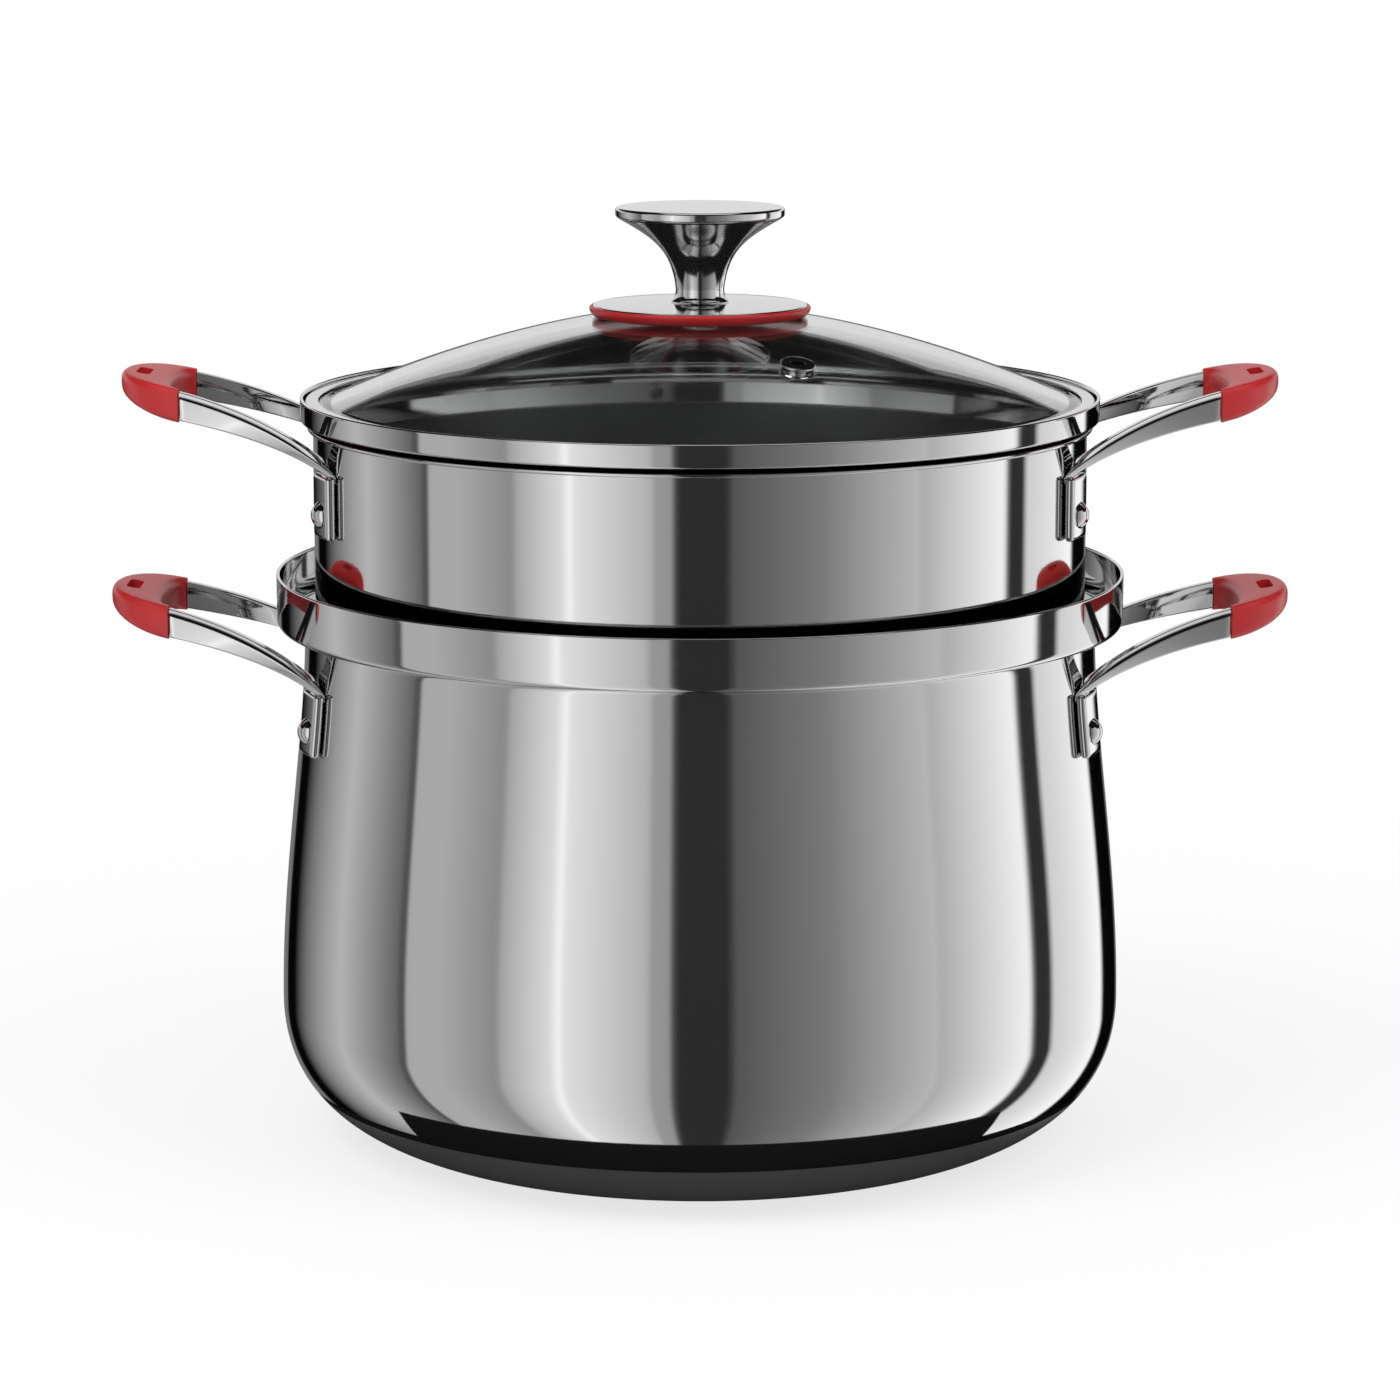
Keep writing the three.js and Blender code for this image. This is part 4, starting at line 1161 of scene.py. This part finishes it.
# Painted shadow: a near-black disc under the pot, wider at its front, seen only in the steel's
# reflections, for the pot's contact shadow.
front = worked_out(nodes, links, "LESS_THAN", spot.outputs["Y"], FRONT_EDGE * mm)
shade = worked_out(nodes, links, "MULTIPLY_ADD", front, FRONT_SHADE * mm, SHADED_RADIUS * mm)
under = worked_out(nodes, links, "LESS_THAN", reach.outputs["Value"], shade)
dark = nodes.new("ShaderNodeBsdfDiffuse")
dark.inputs["Color"].default_value = plain(SHADED_GREY)
open_floor = nodes.new("ShaderNodeBsdfTransparent")
mirrored = shared(nodes, links, under, open_floor.outputs["BSDF"], dark.outputs["BSDF"])
from_card = nodes.new("ShaderNodeVectorMath")
from_card.operation = "DISTANCE"
from_card.inputs[1].default_value = (0, CARD_PLACE * mm, 0)
links.new(place.outputs["Object"], from_card.inputs[0])
on_card = worked_out(nodes, links, "LESS_THAN", from_card.outputs["Value"], CARD_RADIUS * mm)
in_steel = worked_out(
    nodes, links, "MULTIPLY", path.outputs["Is Glossy Ray"], path.outputs["Is Reflection Ray"]
)
in_glass = worked_out(nodes, links, "MULTIPLY", path.outputs["Is Transmission Ray"], on_card)
bounced = worked_out(nodes, links, "MAXIMUM", in_steel, in_glass)
links.new(shared(nodes, links, bounced, seen, mirrored), nodes["Material Output"].inputs["Surface"])
floor.data.materials.append(sweep)

# Studio: tall soft panels all round with narrow gaps between them, and a white screen behind.
# The polished steel shows the panels as upright bands, and the gaps as dark lines between them.
# A panel edge is a bearing in degrees, 0 towards the camera, and the display grey it has in the steel.

STEEL_SHARE = 0.66
PANELS = [
    (-160, 100), (-157.5, 4), (-148, 4), (-144.5, 58), (-136, 112), (-115, 177), (-89.5, 98),
    (-87.4, 44), (-85.8, 167), (-75, 168), (-56.5, 136), (-54.6, 164), (-40, 217), (-38.4, 248),
    (-36.4, 221), (-14.4, 176), (-12.8, 149), (-8.3, 146), (-6.8, 42), (8.0, 42), (9.2, 82), (35, 119),
    (66.6, 181), (68, 171), (100.6, 240), (103, 43), (109.8, 43), (112.2, 204), (143, 238), (146, 4),
    (164, 4), (168, 100),
]
SCREEN_SPAN = (0.55, 0.6)
SCREEN_FOOT = 0.0
SCREEN_GREY = 0.8
PANEL_TOP = 20.0
FRONT_PANEL_RISE = 0.25
FRONT_SPAN = (0.1, 0.3)
WING_SPAN = (0.18, 0.2)
WING_DROP = 0.095
CEILING_LIGHT = 60.0
CEILING_LIGHT_EDGE = 4.0
CEILING_LIGHT_SPAN = (-0.2, -0.1)
CEILING_GREY = 0.01
THROUGH_GLASS = 0.002
LEAVING_SPAN = (0.2, 0.3)
SOFT_GREY = 0.6
LAMP_AIM = Vector((0, 0, 0.12))

world = bpy.data.worlds.new("studio")
bpy.context.scene.world = world
world.use_nodes = True
nodes = world.node_tree.nodes
links = world.node_tree.links
nodes.clear()


def step_between(value, low, high):
    """A 0 to 1 step of a world value between two limits."""
    step = nodes.new("ShaderNodeMapRange")
    step.inputs["From Min"].default_value = low
    step.inputs["From Max"].default_value = high
    links.new(value, step.inputs["Value"])
    return step.outputs["Result"]


def mixed(share, first, second):
    """Two world colours mixed by a share, the second one plain."""
    blend = nodes.new("ShaderNodeMix")
    blend.data_type = "RGBA"
    colours = [socket for socket in blend.inputs if socket.type == "RGBA"]
    links.new(share, blend.inputs[0])
    links.new(first, colours[0])
    colours[1].default_value = second
    return [socket for socket in blend.outputs if socket.type == "RGBA"][0]


def sine(degrees):
    """The upward part of a direction at an elevation."""
    return math.sin(math.radians(degrees))


sight = nodes.new("ShaderNodeTexCoord")
parts = nodes.new("ShaderNodeSeparateXYZ")
links.new(sight.outputs["Generated"], parts.inputs["Vector"])
towards = worked_out(nodes, links, "MULTIPLY", parts.outputs["Y"], -1)
bearing = worked_out(nodes, links, "ARCTAN2", parts.outputs["X"], towards)
panels = nodes.new("ShaderNodeValToRGB")
ramp = panels.color_ramp
while len(ramp.elements) < len(PANELS):
    ramp.elements.new(0.5)
for element, (angle, level) in zip(ramp.elements, PANELS):
    element.position = (angle + 180) / 360
    element.color = plain(linear(level)[0] / STEEL_SHARE)
links.new(step_between(bearing, -math.pi, math.pi), panels.inputs["Fac"])
path = nodes.new("ShaderNodeLightPath")
backwards = step_between(parts.outputs["Y"], *LEAVING_SPAN)
leaving = worked_out(nodes, links, "MULTIPLY", path.outputs["Is Transmission Ray"], backwards)
through = mixed(leaving, panels.outputs["Color"], plain(THROUGH_GLASS))
screen_side = step_between(parts.outputs["Y"], *SCREEN_SPAN)
screen_foot = step_between(parts.outputs["Z"], sine(SCREEN_FOOT), sine(SCREEN_FOOT + 1))
behind = worked_out(nodes, links, "MULTIPLY", screen_side, screen_foot)
screened = mixed(behind, through, plain(SCREEN_GREY))
aside = worked_out(nodes, links, "ABSOLUTE", parts.outputs["X"])
wing = step_between(aside, *WING_SPAN)
lowered = worked_out(nodes, links, "MULTIPLY_ADD", wing, WING_DROP, parts.outputs["Z"])
in_front = step_between(towards, *FRONT_SPAN)
raised = worked_out(nodes, links, "MULTIPLY_ADD", in_front, -FRONT_PANEL_RISE, lowered)
above = step_between(raised, sine(PANEL_TOP), sine(PANEL_TOP + 1))
roofed = mixed(above, screened, plain(CEILING_GREY))
light_edge = sine(CEILING_LIGHT + CEILING_LIGHT_EDGE)
light_height = step_between(parts.outputs["Z"], sine(CEILING_LIGHT), light_edge)
light_side = step_between(parts.outputs["Y"], *CEILING_LIGHT_SPAN)
overhead = worked_out(nodes, links, "MULTIPLY", light_height, light_side)
shown = nodes.new("ShaderNodeBackground")
links.new(mixed(overhead, roofed, plain(1.0)), shown.inputs["Color"])
soft = nodes.new("ShaderNodeBackground")
soft.inputs["Color"].default_value = plain(SOFT_GREY)
white = nodes.new("ShaderNodeBackground")
white.inputs["Color"].default_value = plain(1.0)
bounced = worked_out(
    nodes, links, "MAXIMUM", path.outputs["Is Glossy Ray"], path.outputs["Is Transmission Ray"]
)
lit = shared(nodes, links, bounced, soft.outputs["Background"], shown.outputs["Background"])
backdrop = shared(nodes, links, path.outputs["Is Camera Ray"], lit, white.outputs["Background"])
surroundings = nodes.new("ShaderNodeOutputWorld")
links.new(backdrop, surroundings.inputs["Surface"])

for name, place, size, power in (
    ("key_softbox", (-0.9, -0.8, 1.5), 1.0, 16.0),
    ("fill_softbox", (1.0, -0.6, 1.3), 1.0, 9.0),
):
    bpy.ops.object.light_add(type="AREA", location=place)
    lamp = bpy.context.object
    lamp.name = name
    lamp.data.shape = "SQUARE"
    lamp.data.size = size
    lamp.data.energy = power
    lamp.visible_glossy = False
    lamp.rotation_euler = (LAMP_AIM - Vector(place)).to_track_quat("-Z", "Y").to_euler()

# Camera: straight in front on the pot's axis, a little above the lid and looking slightly down.
# A long lens from well back, so that the rims stay shallow ellipses.

CAMERA_PLACE = Vector((0, -1.4065, 0.3858))
CAMERA_AIM = Vector((0, 0, 0.12607))
SENSOR_WIDTH = 36.0
FOCAL_LENGTH = 125.6
FAR_LIMIT = 50.0

bpy.ops.object.camera_add(location=CAMERA_PLACE)
camera = bpy.context.object
camera.data.sensor_width = SENSOR_WIDTH
camera.data.lens = FOCAL_LENGTH
camera.data.clip_end = FAR_LIMIT
camera.rotation_euler = (CAMERA_AIM - CAMERA_PLACE).to_track_quat("-Z", "Y").to_euler()
bpy.context.scene.camera = camera
bpy.context.scene.view_settings.view_transform = "Standard"
